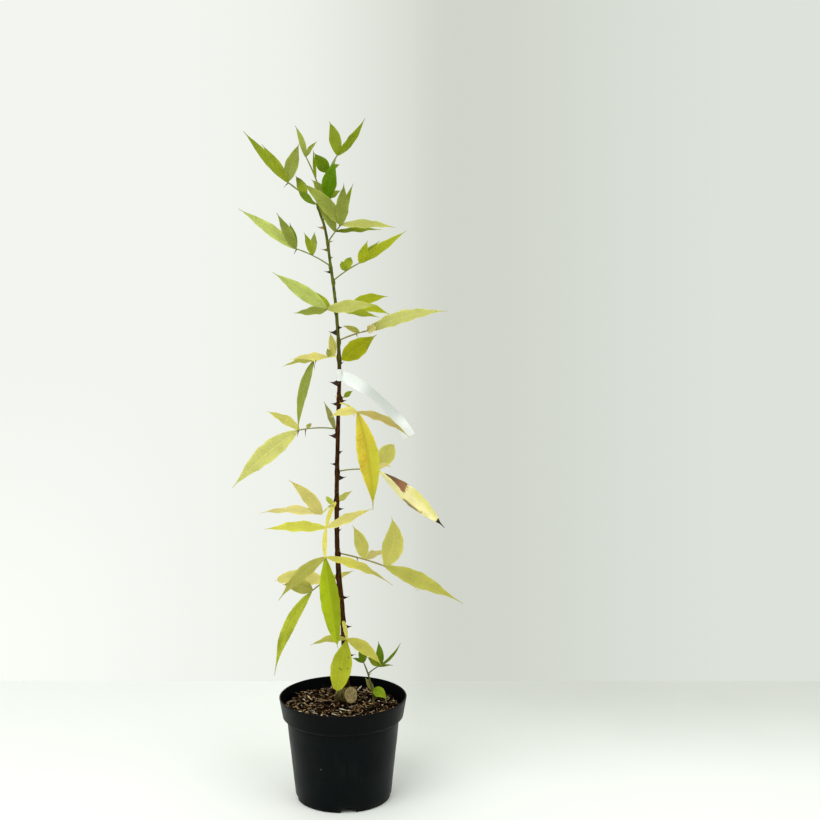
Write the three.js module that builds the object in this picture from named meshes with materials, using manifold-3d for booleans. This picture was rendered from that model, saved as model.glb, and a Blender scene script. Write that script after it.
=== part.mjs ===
// Potted winged prickly ash: a young single-stemmed shrub in a round nursery pot.
// Millimetres, +Z up, origin in the middle of the pot's flat underside, front of the plant towards -Y.
// A bearing is in degrees anticlockwise from +X seen from above, so -90 is the front and 180 is the left.
// A rise is in degrees above the level.

import * as THREE from 'three';
import { mergeVertices } from 'three/addons/utils/BufferGeometryUtils.js';
import Module from 'manifold-3d';

const wasm = await Module();
wasm.setup();

// Driving dimensions
const clearance = 0.3;
const pot = {
  height: 149, rimRadius: 90.5, collarRadius: 86, collarBottom: 121, shoulderRadius: 79.5,
  shoulderBottom: 113,
  footRadius: 68, footChamfer: 3.5, wall: 1.8, floor: 5, sides: 40,
  channelInner: 40, channelOuter: 56, channelDepth: 3, holes: 8, holeRadius: 5,
  holeSides: 10, notches: 4, notchBearing: -82, notchRadius: 11, notchHeight: 6,
  notchLength: 30, notchSides: 12,
  edge: 0.6,
};
const soil = { level: 129.7, edge: 3, sides: 36 };
const trunk = {
  foot: 130, sides: 8, rings: 28,
  flareRadius: 9, flareHeight: 16, footStemRadius: 4.3, tipStemRadius: 1.5, taperPower: 1.15,
};
const stub = { radius: 12, bearing: -48, rise: 12, behind: 8, length: 13, height: 143, sides: 12 };
const thorn = {
  baseHeight: 9, baseWidth: 3, tip: 0.5, rise: 6, sag: 0.08, taperPower: 1.3, sides: 4, rings: 2,
};
const stalkSize = { root: 2.4, margin: 0.2, depth: 1.5, knob: 1.5, lift: 50, sides: 4, rings: 4 };
const leafletSize = {
  root: 1.8, rootFade: 0.7, fold: 0.22, thickness: 1 / 85, thinnest: 1.1, depthFade: 0.45,
  widestPower: 0.75, sides: 4, rings: 5,
};
const label = {
  width: 18, thickness: 0.8, bearing: -10, rise: -41, length: 122, bow: 0.09, height: 609,
  lift: 15, loopRadius: 4.6, loopShare: 0.7, loopSides: 16, rings: 10,
};
const ground = { width: 200, depth: 100 };

// The stem's middle: height above the pot's underside, then how far it stands right of the pot's
// middle and how far behind it.
const stemCourse = [
  [130, 6, 16], [190, 3, 11], [260, 0, 8], [340, -6, 3], [430, -7, 0], [520, -5, -2], [620, -2, -3],
  [700, -6, -3], [760, -13, -3], [808, -20, -2], [838, -29, -1], [864, -28, 0],
];

// Thorns: height, bearing and length.
const thorns = [
  [178, 70, 9], [196, 160, 8], [210, -15, 10], [232, 130, 9], [249, -10, 8], [253, 175, 9], [293, 0, 11],
  [310, -160, 8], [338, 85, 10], [352, -60, 8], [388, 60, 9], [398, -125, 9], [420, -5, 8], [424, -165, 10],
  [452, 110, 9], [465, -10, 11], [484, 185, 7], [500, 55, 10], [524, 180, 11], [548, -70, 8], [560, 95, 10],
  [569, -160, 9], [573, 0, 9], [598, 175, 12], [625, 60, 9], [648, 100, 10], [668, 180, 11], [675, -40, 8],
  [712, 80, 10], [728, -95, 9], [751, 185, 9], [770, 60, 8], [781, 178, 9], [792, 25, 8], [811, 170, 10],
  [822, 40, 8],
];

// Leaves up the stem. stalk: bearing, rise, length, width of its wings and bow.
// leaflets: place along the stalk from 0 to 1, bearing, rise, length, width, rise of the upper face
// (0 looks to the front, 90 looks up) and bow.
const leaves = {
  leaf_low_front: {
    height: 257, stalk: [-80, -20, 45, 3, 0.05],
    leaflets: [
      [1, -165, -5, 52, 14, 65, 0.08],
      [1, -115, -65, 76, 30, 0, 0.02],
      [1, -25, -30, 62, 18, 30, 0.10],
    ],
  },
  leaf_low_left: {
    height: 322, stalk: [155, -32, 52, 3, 0.05],
    leaflets: [
      [0.45, 145, -10, 92, 19, 45, 0.04],
      [0.95, -155, 8, 46, 20, 20, 0.06],
      [1, 156, -65, 146, 19, 15, 0.04],
      [0.25, 50, -2, 50, 10, 55, 0.06],
    ],
  },
  leaf_low_right: {
    height: 360, stalk: [12, -22, 72, 3, 0.06],
    leaflets: [
      [0.55, -165, 72, 53, 20, 0, 0.08],
      [0.6, 63, 1, 56, 16, 55, 0.06],
      [1, 10, 82, 72, 31, 0, -0.11],
      [1, -18, -21, 124, 25, 30, 0.03],
      [1, 28, -38, 70, 13, 40, 0.05],
    ],
  },
  leaf_mid_left: {
    height: 430, stalk: [147, -39, 33, 3, 0.04],
    leaflets: [
      [1, 141, 33, 76, 19, 15, 0.04],
      [1, 162, -3, 95, 15, 60, 0.05],
      [0.3, 109, 11, 32, 8, 40, 0.05],
      [0.15, 62, 10, 51, 11, 40, 0],
    ],
  },
  leaf_mid_front: {
    height: 432, stalk: [-100, -41, 97, 6.5, 0.08],
    leaflets: [
      [0.55, -165, 2, 86, 17, 50, 0.02],
      [0.55, -17, 25, 74, 15, 52, 0],
      [1, -166, -41, 86, 20, 30, 0.08],
      [1, -12, -20, 100, 18, 40, 0.05],
      [1, -60, -72, 117, 31, 0, -0.04],
    ],
  },
  leaf_dry_right: {
    height: 473, stalk: [23, -4, 63, 2.5, 0.05],
    leaflets: [
      [0.95, 52, 40, 53, 26, 5, 0.02],
      [0.95, 60, 8, 34, 8, 30, 0.20],
      [1, 15, -42, 130, 25, 25, 0.03],
    ],
  },
  leaf_long_left: {
    height: 533, stalk: [-172, -1, 56, 2.5, 0.05],
    leaflets: [
      [0.08, -125, 60, 47, 11, 0, 0.02],
      [0.75, 73, 20, 16, 7, 60, 0.15],
      [0.95, 141, 18, 66, 16, 50, 0.06],
      [1, -155, -37, 120, 28, 20, 0.045],
    ],
  },
  leaf_front_yellow: {
    height: 570, stalk: [-54, -9, 46, 3, 0.05],
    leaflets: [
      [1, -148, -5, 42, 14, 30, 0.10],
      [1, -23, -21, 82, 14, 48, 0.08],
      [1, -45, -77, 135, 30, 0, 0.07],
    ],
  },
  leaf_bud: {
    height: 577, stalk: [-7, 10, 8, 2, 0],
    leaflets: [[1, -20, 37, 15, 8, 10, 0.04]],
  },
  leaf_right_broad: {
    height: 631, stalk: [-38, -5, 8, 2, 0],
    leaflets: [[1, -33, 33, 67, 28, 10, 0.01]],
  },
  leaf_left_hanging: {
    height: 635, stalk: [-178, -11, 36, 3, 0.04],
    leaflets: [
      [0.2, 104, 52, 39, 12, 0, 0.04],
      [0.45, 153, -6, 60, 16, 45, 0.03],
      [0.35, -107, 50, 17, 9, 20, 0.04],
      [1, -143, -4, 50, 11, 58, 0.06],
      [1, -124, -69, 99, 15, 20, 0.04],
    ],
  },
  leaf_right_long: {
    height: 656, stalk: [16, 17, 42, 3, 0.03],
    leaflets: [
      [0.6, -149, 47, 22, 10, 15, 0.06],
      [0.6, -5, 26, 28, 12, 20, 0.12],
      [1, -20, 15, 122, 20, 28, 0.05],
      [1, 38, 10, 59, 13, 50, 0.05],
    ],
  },
  leaf_upper_front: {
    height: 697, stalk: [-119, 11, 24, 3, 0.03],
    leaflets: [
      [1, -157, 34, 93, 22, 10, 0.02],
      [0.6, 156, 50, 45, 13, 10, 0],
      [1, -138, -2, 57, 15, 40, -0.02],
      [1, -26, 6, 77, 19, 25, 0.02],
    ],
  },
  leaf_upper_back: {
    height: 701, stalk: [56, 3, 35, 3, 0.03],
    leaflets: [
      [1, 37, 8, 64, 16, 20, 0.05],
      [1, 8, -14, 56, 14, 30, 0.06],
      [0.5, -5, -18, 48, 13, 55, 0],
    ],
  },
  leaf_small_right: {
    height: 738, stalk: [23, 31, 46, 2.5, 0.03],
    leaflets: [
      [0.5, -108, 37, 26, 10, 5, 0.05],
      [0.5, 74, 35, 35, 11, 5, 0.05],
      [1, -67, 47, 44, 13, 5, 0],
      [1, 53, 33, 53, 11, 20, 0.02],
      [1, 17, 33, 80, 14, 25, 0.01],
    ],
  },
  leaf_upper_left: {
    height: 758, stalk: [-174, 27, 53, 2.5, 0.04],
    leaflets: [
      [0.55, -104, 42, 48, 10, 5, 0.05],
      [0.55, 88, 41, 46, 11, 5, 0.05],
      [1, -123, 50, 65, 14, 10, 0.02],
      [1, 106, 41, 52, 11, 10, 0.03],
      [1, -162, 35, 96, 16, 15, 0.02],
    ],
  },
  leaf_crown_front: {
    height: 790, stalk: [-47, 41, 38, 3, 0.03],
    leaflets: [
      [0.6, -150, 60, 66, 16, 10, 0.02],
      [0.6, 14, 2, 64, 12, 55, 0.02],
      [1, -162, 46, 80, 19, 5, 0.05],
      [1, -15, -2, 76, 14, 35, 0.04],
      [1, -82, 54, 69, 18, 0, 0.05],
      [0.9, 63, 56, 69, 10, 0, 0.04],
    ],
  },
  leaf_crown_left: {
    height: 840, stalk: [172, 37, 53, 3, 0],
    leaflets: [
      [0.4, 118, 39, 44, 13, 5, 0.03],
      [0.45, -112, -7, 33, 15, 20, 0.12],
      [1, 59, 61, 60, 19, 0, 0.03],
      [1, -131, 47, 69, 13, 10, 0],
      [1, 162, 47, 94, 14, 15, 0],
    ],
  },
  leaf_crown_inner: {
    height: 846, stalk: [-31, 9, 15, 2, 0],
    leaflets: [
      [1, -63, 62, 60, 21, 0, 0.05],
      [1, 64, 17, 41, 10, 30, 0.05],
      [0.5, -170, 46, 38, 17, 5, 0.08],
    ],
  },
  leaf_crown_right: {
    height: 855, stalk: [25, 62, 60, 2.5, 0.03],
    leaflets: [
      [0.55, -142, 49, 35, 18, 0, 0],
      [0.6, 62, 15, 30, 8, 5, 0.05],
      [1, 119, 62, 52, 17, 0, 0.08],
      [1, -33, 47, 67, 12, 20, -0.05],
    ],
  },
  leaf_tip: {
    height: 864, stalk: [165, 66, 46, 2, 0.02],
    leaflets: [
      [1, 127, 59, 49, 9, 5, 0.05],
      [1, -43, 42, 30, 7, 10, 0.06],
      [0.3, 150, 85, 38, 5, 10, 0],
    ],
  },
};

// The young shoot beside the stem's foot: its own root, its main stalk, and the side stalk that carries
// its right-hand leaflets, written like the leaves.
const shoot = {
  root: [44, 17, 130.2], stalk: [-165, 78, 50, 3, 0.04],
  leaflets: [
    [0.35, -20, 5, 24, 17, 20, 0.25],
    [0.5, 20, 25, 20, 6, 30, 0.15],
    [1, 165, 60, 22, 11, 10, 0.04],
    [1, 175, 75, 34, 12, 0, 0.04],
  ],
  side: {
    at: 0.9, stalk: [5, 30, 22, 2, 0.05],
    leaflets: [
      [0.5, 140, 35, 24, 12, 20, 0.05],
      [0.6, 20, 2, 28, 5, 40, 0.04],
      [1, 120, 68, 32, 13, 0, 0.05],
      [1, 10, 45, 36, 5, 30, -0.08],
    ],
  },
};

const tints = {
  pot: [0x17181a, 0.42], soil: [0x4a3423, 0.95], trunk: [0x3a2413, 0.7], label: [0xf2f3f0, 0.45],
  yellow: [0xd6c63c, 0.55], green: [0x8fa63a, 0.5], straw: [0xe0cf7c, 0.65], shoot: [0x7f9a35, 0.5],
};
const yellowLeaves = ['leaf_front_yellow', 'leaf_mid_front', 'leaf_mid_left', 'leaf_low_left'];

const up = new THREE.Vector3(0, 0, 1);
const front = new THREE.Vector3(0, -1, 0);

function material(tint) {
  const [color, roughness] = tints[tint];
  return new THREE.MeshStandardMaterial({ color, roughness, metalness: 0 });
}

// The unit vector at a bearing and a rise.
function heading(bearing, rise) {
  const [b, r] = [bearing, rise].map(THREE.MathUtils.degToRad);
  return new THREE.Vector3(Math.cos(b) * Math.cos(r), Math.sin(b) * Math.cos(r), Math.sin(r));
}

// A curve whose chord has the given bearing, rise and length, and whose middle stands `bow` times the
// length above the chord.
function bowedCurve(start, bearing, rise, length, bow) {
  const chord = heading(bearing, rise);
  const end = start.clone().addScaledVector(chord, length);
  const above = up.clone().addScaledVector(chord, -up.dot(chord)).normalize();
  const middle = start.clone().lerp(end, 0.5).addScaledVector(above, 2 * bow * length);
  return new THREE.QuadraticBezierCurve3(start, middle, end);
}

function solid(geometry) {
  const bare = geometry.clone();
  bare.deleteAttribute('normal');
  bare.deleteAttribute('uv');
  const merged = mergeVertices(bare);
  return new wasm.Manifold(new wasm.Mesh({
    numProp: 3,
    vertProperties: merged.attributes.position.array,
    triVerts: Uint32Array.from(merged.index.array),
  }));
}

function fuse(solids) {
  return solids.reduce((whole, piece) => whole.add(piece));
}

// A closed body along a curve. The rings of a closed cylinder are laid across it: `girth(t)` is the half
// width across the face and the half depth through it, `face` is where the broad side looks, `fold`
// lifts the two edges, and `turn` sets where the ring's corners lie.
function sweep(curve, { sides, rings, face, girth, fold = 0, turn = 0 }) {
  const geometry = new THREE.CylinderGeometry(1, 1, 1, sides, rings, false, turn);
  const position = geometry.attributes.position;
  const ring = new THREE.Vector3();
  for (let i = 0; i < position.count; i += 1) {
    ring.fromBufferAttribute(position, i);
    const t = ring.y + 0.5;
    const along = curve.getTangent(t);
    const outward = face.clone().addScaledVector(along, -face.dot(along)).normalize();
    const across = along.clone().cross(outward);
    const [halfWidth, halfDepth] = girth(t);
    const place = curve.getPoint(t)
      .addScaledVector(across, ring.x * halfWidth)
      .addScaledVector(outward, ring.z * halfDepth + Math.abs(ring.x) * halfWidth * fold);
    position.setXYZ(i, place.x, place.y, place.z);
  }
  return solid(geometry);
}

function addMesh(name, body, tint) {
  const { vertProperties, triVerts } = body.getMesh();
  const geometry = new THREE.BufferGeometry();
  geometry.setAttribute('position', new THREE.BufferAttribute(vertProperties, 3));
  geometry.setIndex(new THREE.BufferAttribute(triVerts, 1));
  geometry.computeVertexNormals();
  const mesh = new THREE.Mesh(geometry, material(tint));
  mesh.name = name;
  group.add(mesh);
}

// Turns a profile of [radius, height] points about the upright axis.
function lathe(profile, sides) {
  const points = profile.map(([radius, height]) => new THREE.Vector2(radius, height));
  return solid(new THREE.LatheGeometry(points, sides).rotateX(Math.PI / 2));
}

function uprightCylinder(radius, bottom, top, sides) {
  const geometry = new THREE.CylinderGeometry(radius, radius, top - bottom, sides);
  return solid(geometry.rotateX(Math.PI / 2).translate(0, 0, (top + bottom) / 2));
}

// The pot's outer radius at a height, from the foot's chamfer to the rim.
function potRadius(height) {
  const { footChamfer, footRadius, shoulderBottom, shoulderRadius, collarBottom, collarRadius } = pot;
  const { mapLinear } = THREE.MathUtils;
  if (height <= shoulderBottom) {
    return mapLinear(height, footChamfer, shoulderBottom, footRadius, shoulderRadius);
  }
  if (height <= collarBottom) {
    return mapLinear(height, shoulderBottom, collarBottom, shoulderRadius, collarRadius);
  }
  return mapLinear(height, collarBottom, pot.height, collarRadius, pot.rimRadius);
}

// A thin shell with a stepped collar. Its floor is flat in the middle, with a shallow channel and a foot
// ring round it; drain holes pierce the channel and arched notches open the foot.
function makePot() {
  const { height, wall, floor, footRadius, footChamfer, channelInner, channelOuter, channelDepth } = pot;
  const { shoulderBottom, collarBottom, rimRadius, collarRadius, shoulderRadius, sides, edge } = pot;
  let shell = lathe([
    [0, 0],
    [channelInner, 0],
    [channelInner + channelDepth, channelDepth],
    [channelOuter - channelDepth, channelDepth],
    [channelOuter, 0],
    [footRadius - footChamfer, 0],
    [footRadius, footChamfer],
    [shoulderRadius, shoulderBottom],
    [collarRadius - edge, collarBottom - edge],
    [collarRadius, collarBottom + edge],
    [rimRadius - edge, height - edge],
    [rimRadius - wall / 2, height],
    [rimRadius - wall, height - edge],
    [collarRadius - wall, collarBottom + edge],
    [shoulderRadius - wall, shoulderBottom + edge],
    [potRadius(floor) - wall, floor + wall],
    [potRadius(floor) - 2 * wall, floor],
    [0, floor],
  ], sides);
  const holeCircle = (channelInner + channelOuter) / 2;
  for (let i = 0; i < pot.holes; i += 1) {
    const way = heading(pot.notchBearing + (i + 0.5) * 360 / pot.holes, 0).multiplyScalar(holeCircle);
    const drill = uprightCylinder(pot.holeRadius, -floor, 2 * floor, pot.holeSides);
    shell = shell.subtract(drill.translate([way.x, way.y, 0]));
  }
  for (let i = 0; i < pot.notches; i += 1) {
    const bearing = THREE.MathUtils.degToRad(pot.notchBearing + i * 360 / pot.notches);
    const arch = new THREE.CylinderGeometry(1, 1, pot.notchLength, pot.notchSides);
    arch.rotateZ(Math.PI / 2).scale(1, pot.notchRadius, pot.notchHeight);
    arch.translate(footRadius, 0, 0).rotateZ(bearing);
    shell = shell.subtract(solid(arch));
  }
  addMesh('pot', shell, 'pot');
}

// The compost fills the shell from its floor to the soil level, clear of the wall all round.
function makeSoil() {
  const { wall, floor, shoulderBottom, collarBottom, sides } = pot;
  const inside = (height) => (potRadius(height) - wall) * Math.cos(Math.PI / sides) - 2 * clearance;
  const bottom = floor + clearance;
  addMesh('soil', lathe([
    [0, bottom],
    [inside(bottom) - 2 * wall, bottom],
    [inside(bottom + 2 * wall), bottom + 2 * wall],
    [inside(shoulderBottom) - clearance, shoulderBottom],
    [inside(collarBottom) - 2 * clearance, collarBottom + wall],
    [inside(soil.level - soil.edge), soil.level - soil.edge],
    [inside(soil.level) - soil.edge, soil.level],
    [0, soil.level],
  ], soil.sides), 'soil');
}

const stemCurve = new THREE.CatmullRomCurve3(
  stemCourse.map(([height, right, back]) => new THREE.Vector3(right, back, height)),
  false, 'catmullrom', 0.5,
);

// Where the stem's middle is at a height: the curve's parameter is found by halving.
function stemAt(height) {
  let [low, high] = [0, 1];
  for (let i = 0; i < 40; i += 1) {
    const middle = (low + high) / 2;
    if (stemCurve.getPoint(middle).z < height) low = middle;
    else high = middle;
  }
  return stemCurve.getPoint(low);
}

// The stem narrows evenly to its tip, and flares out to its foot over the last few millimetres.
function stemRadius(height) {
  const top = stemCourse[stemCourse.length - 1][0];
  const share = (height - trunk.foot) / (top - trunk.foot);
  const taper = 1 - share ** trunk.taperPower;
  const stem = trunk.tipStemRadius + (trunk.footStemRadius - trunk.tipStemRadius) * taper;
  const flare = Math.exp(-(height - trunk.foot) / trunk.flareHeight);
  return stem + (trunk.flareRadius - trunk.footStemRadius) * flare;
}

function stemBody(extra) {
  const girth = (t) => {
    const radius = stemRadius(stemCurve.getPoint(t).z) + extra;
    return [radius, radius];
  };
  return sweep(stemCurve, { sides: trunk.sides, rings: trunk.rings, face: front, girth });
}

// The sawn stump of the old stem: a short log out of the flare, its flat cut looking to the front right.
function stumpBody(extra) {
  const start = stemAt(trunk.foot).setZ(stub.height)
    .addScaledVector(heading(stub.bearing, stub.rise), -stub.behind);
  const curve = bowedCurve(start, stub.bearing, stub.rise, stub.behind + stub.length + extra, 0);
  const girth = () => [stub.radius + extra, stub.radius + extra];
  return sweep(curve, { sides: stub.sides, rings: 1, face: up, girth });
}

function thornBody([height, bearing, length]) {
  const reach = length + stemRadius(height);
  const curve = bowedCurve(stemAt(height), bearing, thorn.rise, reach, -thorn.sag);
  const girth = (t) => {
    const left = (1 - t) ** thorn.taperPower;
    return [(thorn.baseWidth * left + thorn.tip) / 2, (thorn.baseHeight * left + thorn.tip) / 2];
  };
  return sweep(curve, { sides: thorn.sides, rings: thorn.rings, face: up, girth });
}

function groundBlock(level) {
  const { width, depth } = ground;
  return solid(new THREE.BoxGeometry(width, width, depth).translate(0, 0, level - depth / 2));
}

function makeTrunk() {
  const body = fuse([stemBody(0), stumpBody(0), ...thorns.map(thornBody)]);
  addMesh('trunk', body.subtract(groundBlock(trunk.foot)), 'trunk');
}

// A stalk is flat, with wings between its root and its knob at the far end.
function stalkBody(curve, wing) {
  const { root, margin, depth, lift, sides, rings } = stalkSize;
  const girth = (t) => {
    const spread = Math.sin(Math.PI * THREE.MathUtils.clamp(t * 1.15 - 0.1, 0, 1)) ** 0.5;
    return [(root + (wing - root) * spread) / 2 + margin, depth / 2];
  };
  return sweep(curve, { sides, rings, face: heading(-90, lift), girth });
}

// A leaflet is a lance-shaped blade, widest before its middle and folded a little along its midrib.
function leafletBody(stalk, [at, bearing, rise, length, width, lift, bow]) {
  const curve = bowedCurve(stalk.getPoint(at), bearing, rise, length, bow);
  const { root, rootFade, fold, thickness, thinnest, depthFade, widestPower } = leafletSize;
  const { sides, rings } = leafletSize;
  const depth = Math.max(thinnest, length * thickness);
  const girth = (t) => {
    const spread = Math.max(0, Math.sin(Math.PI * t ** widestPower));
    return [(root * (1 - rootFade * t) + (width - root) * spread) / 2, depth / 2 * (1 - depthFade * t)];
  };
  return sweep(curve, { sides, rings, face: heading(-90, lift), fold, girth });
}

// A stalk with its leaflets fused on. The stalk runs on past its end by a knob that holds their roots.
function sprayBody(root, { stalk: [bearing, rise, length, wing, bow], leaflets }) {
  const curve = bowedCurve(root, bearing, rise, length, bow);
  const longer = bowedCurve(root, bearing, rise, length + stalkSize.knob, bow);
  return { curve, body: fuse([stalkBody(longer, wing), ...leaflets.map((row) => leafletBody(curve, row))]) };
}

// Each leaf starts at the stem's middle and is cut back to stand clear of the bark.
function makeLeaves() {
  const bark = stemBody(clearance).add(stemBody(clearance).translate([0, 0, clearance]));
  for (const [name, leaf] of Object.entries(leaves)) {
    const tint = yellowLeaves.includes(name) ? 'yellow' : name === 'leaf_dry_right' ? 'straw' : 'green';
    addMesh(name, sprayBody(stemAt(leaf.height), leaf).body.subtract(bark), tint);
  }
}

function makeShoot() {
  const { curve, body } = sprayBody(new THREE.Vector3(...shoot.root), shoot);
  const side = sprayBody(curve.getPoint(shoot.side.at), shoot.side).body;
  addMesh('basal_shoot', body.add(side).subtract(groundBlock(shoot.root[2])), 'shoot');
}

// A bare strip whose end is looped round the stem.
function makeLabel() {
  const middle = stemAt(label.height);
  const half = label.thickness / 2;
  const loop = new THREE.Shape().absarc(0, 0, label.loopRadius + label.thickness, 0, 2 * Math.PI);
  loop.holes.push(new THREE.Path().absarc(0, 0, label.loopRadius, 0, 2 * Math.PI, true));
  const ring = new THREE.ExtrudeGeometry(loop, {
    depth: label.width * label.loopShare, bevelEnabled: false, curveSegments: label.loopSides / 2,
  });
  ring.translate(middle.x, middle.y, label.height - label.width * label.loopShare / 2);
  const start = middle.clone().addScaledVector(heading(label.bearing, 0), label.loopRadius + half);
  const curve = bowedCurve(start, label.bearing, label.rise, label.length, label.bow);
  const girth = () => [label.width / 2 * Math.SQRT2, half * Math.SQRT2];
  const face = heading(-90, label.lift);
  const strip = sweep(curve, { sides: 4, rings: label.rings, face, girth, turn: Math.PI / 4 });
  addMesh('label', solid(ring).add(strip), 'label');
}

const group = new THREE.Group();
makePot();
makeSoil();
makeTrunk();
makeLeaves();
makeShoot();
makeLabel();

export default group;
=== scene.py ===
import math
import bpy
import numpy as np
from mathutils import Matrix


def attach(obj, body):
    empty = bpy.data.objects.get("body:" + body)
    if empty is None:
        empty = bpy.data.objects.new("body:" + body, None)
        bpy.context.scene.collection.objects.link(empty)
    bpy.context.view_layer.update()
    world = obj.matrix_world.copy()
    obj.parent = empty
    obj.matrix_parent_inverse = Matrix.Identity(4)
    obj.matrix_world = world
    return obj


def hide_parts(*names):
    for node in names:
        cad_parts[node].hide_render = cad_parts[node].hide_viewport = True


# A young thorny shrub in a round black nursery pot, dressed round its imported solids.
# Metres, +Z up, origin under the pot, the plant's front towards -Y.
# A bearing is in degrees anticlockwise from +X, so -90 is the front; a rise is in degrees above level.

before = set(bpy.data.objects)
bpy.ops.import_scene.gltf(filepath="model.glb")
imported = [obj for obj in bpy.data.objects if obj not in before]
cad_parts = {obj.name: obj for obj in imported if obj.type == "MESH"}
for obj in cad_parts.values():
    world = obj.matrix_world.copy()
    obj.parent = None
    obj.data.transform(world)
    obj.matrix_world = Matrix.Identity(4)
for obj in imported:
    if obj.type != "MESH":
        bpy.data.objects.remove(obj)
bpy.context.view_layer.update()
mm = 0.001
tau = 2 * math.pi
front = -90
upward = np.array([0, 0, 1.0])

# Shape helpers


# Several values of a dictionary, by their names in one text.
def pick(form, names):
    return [form[name] for name in names.split()]


# Vectors scaled to length one.
def unit(v):
    return v / np.linalg.norm(v, axis=-1, keepdims=True)


# The unit vector at a bearing and a rise: (cos b cos r, sin b cos r, sin r).
def heading(bearing, rise=0):
    b, r = np.radians(bearing), np.radians(rise)
    return np.array([np.cos(b) * np.cos(r), np.sin(b) * np.cos(r), np.sin(r)])


# Angles of so many points, evenly spread round a circle.
def around(count):
    return np.arange(count) * tau / count


# The three control points of a quadratic curve: its chord has that bearing, rise and length, and its
# middle stands bow times the length above the chord and sway times it to the chord's right.
def bowed(start, bearing, rise, length, bow, sway=0.0):
    chord = heading(bearing, rise)
    above = unit(upward - chord[2] * chord)
    middle = start + chord * length / 2 + 2 * length * (bow * above + sway * np.cross(chord, above))
    return np.array([start, middle, start + chord * length])


# Points (1-t)^2 a + 2t(1-t) b + t^2 c of such a curve, and its unit tangents.
def along(curve, t):
    t = np.atleast_1d(t)[:, None]
    a, b, c = curve
    return (1 - t) ** 2 * a + 2 * t * (1 - t) * b + t ** 2 * c, unit((1 - t) * (b - a) + t * (c - b))


# The two directions square to each tangent: outward is the face's part square to it, across is
# tangent x outward.
def squareTo(tangent, face):
    tangent = np.atleast_2d(tangent)
    outward = unit(face - (tangent @ face)[:, None] * tangent)
    return np.cross(tangent, outward), outward


# Both directions turned about the tangent, by an angle in radians for each row.
def rolled(across, outward, angle):
    return across * np.cos(angle) + outward * np.sin(angle), outward * np.cos(angle) - across * np.sin(angle)


# A ring for each row: centre + across * x + outward * z.
def swept(centre, across, outward, x, z):
    return centre[:, None] + across[:, None] * x[..., None] + outward[:, None] * z[..., None]


# Oval rings round a path, from two half widths for each row.
def tube(centre, tangent, face, wide, deep, columns):
    across, outward = squareTo(tangent, face)
    angle = around(columns)
    return swept(centre, across, outward, wide[:, None] * np.cos(angle), deep[:, None] * np.sin(angle))


# Round a flat closed section: the share across, from -1 at one edge to 1 at the other and back, and 1 on
# the upper face or -1 on the lower.
def flatSection(columns):
    share = np.arange(columns) / columns
    return 1 - np.abs(4 * share - 2), np.where(share < 0.5, 1.0, -1.0)


# 0 below 0 and 1 above 1, with t^2 (3 - 2t) between.
def ease(t):
    t = np.clip(t, 0, 1)
    return t * t * (3 - 2 * t)


# Numbers eased between the points of a lattice, which joins on to itself, at rows r and columns c.
def between(lattice, r, c):
    tall, wide = lattice.shape
    i, j = np.floor(r).astype(int), np.floor(c).astype(int)
    down, right = ease(r - i), ease(c - j)
    here, below = (lattice[k % tall, j % wide] * (1 - right) + lattice[k % tall, (j + 1) % wide] * right
                   for k in (i, i + 1))
    return here * (1 - down) + below * down


# Smooth noise from -1 to 1 on rings: a seeded lattice of tall by wide cells that meets itself round them.
def ripple(rows, columns, tall, wide, seed):
    lattice = np.random.default_rng(seed).uniform(-1, 1, (tall + 2, wide))
    return between(lattice, np.linspace(0, tall, rows)[:, None], np.arange(columns) * wide / columns)


# The same kind of noise over the plane, for any points x and y, with cells of one size.
def groundNoise(x, y, cell, seed):
    return between(np.random.default_rng(seed).uniform(-1, 1, (64, 64)), x / cell, y / cell)


# Quads and corner shares of a grid of rows by a closed ring of columns, with a fan to one point at
# each end, or with the last row joined to the first.
def ringFaces(rows, columns, wrap):
    spans = rows if wrap else rows - 1
    r, c = (grid.ravel() for grid in np.meshgrid(np.arange(spans), np.arange(columns), indexing="ij"))
    steps = ((0, 0), (0, 1), (1, 1), (1, 0))
    quads = np.stack([(r + down) % rows * columns + (c + right) % columns for down, right in steps], -1)
    shares = np.stack([np.stack([(r + down) / spans, (c + right) / columns], -1) for down, right in steps], 1)
    if wrap:
        return quads, shares, np.zeros((0, 3), int), np.zeros((0, 3, 2))
    c = np.arange(columns)
    last, foot, tip = (rows - 1) * columns, rows * columns + 0 * c, rows * columns + 1 + 0 * c
    fans = np.concatenate([np.stack([foot, (c + 1) % columns, c], -1),
                           np.stack([last + c, last + (c + 1) % columns, tip], -1)])
    here, right, middle = c / columns, (c + 1) / columns, (c + 0.5) / columns
    low, high = np.stack([middle, right, here], -1), np.stack([here, right, middle], -1)
    fanShares = np.concatenate([np.stack([0 * low, low], -1), np.stack([0 * high + 1, high], -1)])
    return quads, shares, fans, fanShares


# One part of a mesh: its rings, points of rows x columns x 3, the name of its material, its length, and
# whether its last ring joins its first.
def sheet(rings, material, length, wrap=False):
    return {"rings": rings, "material": material, "length": length, "wrap": wrap}


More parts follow.
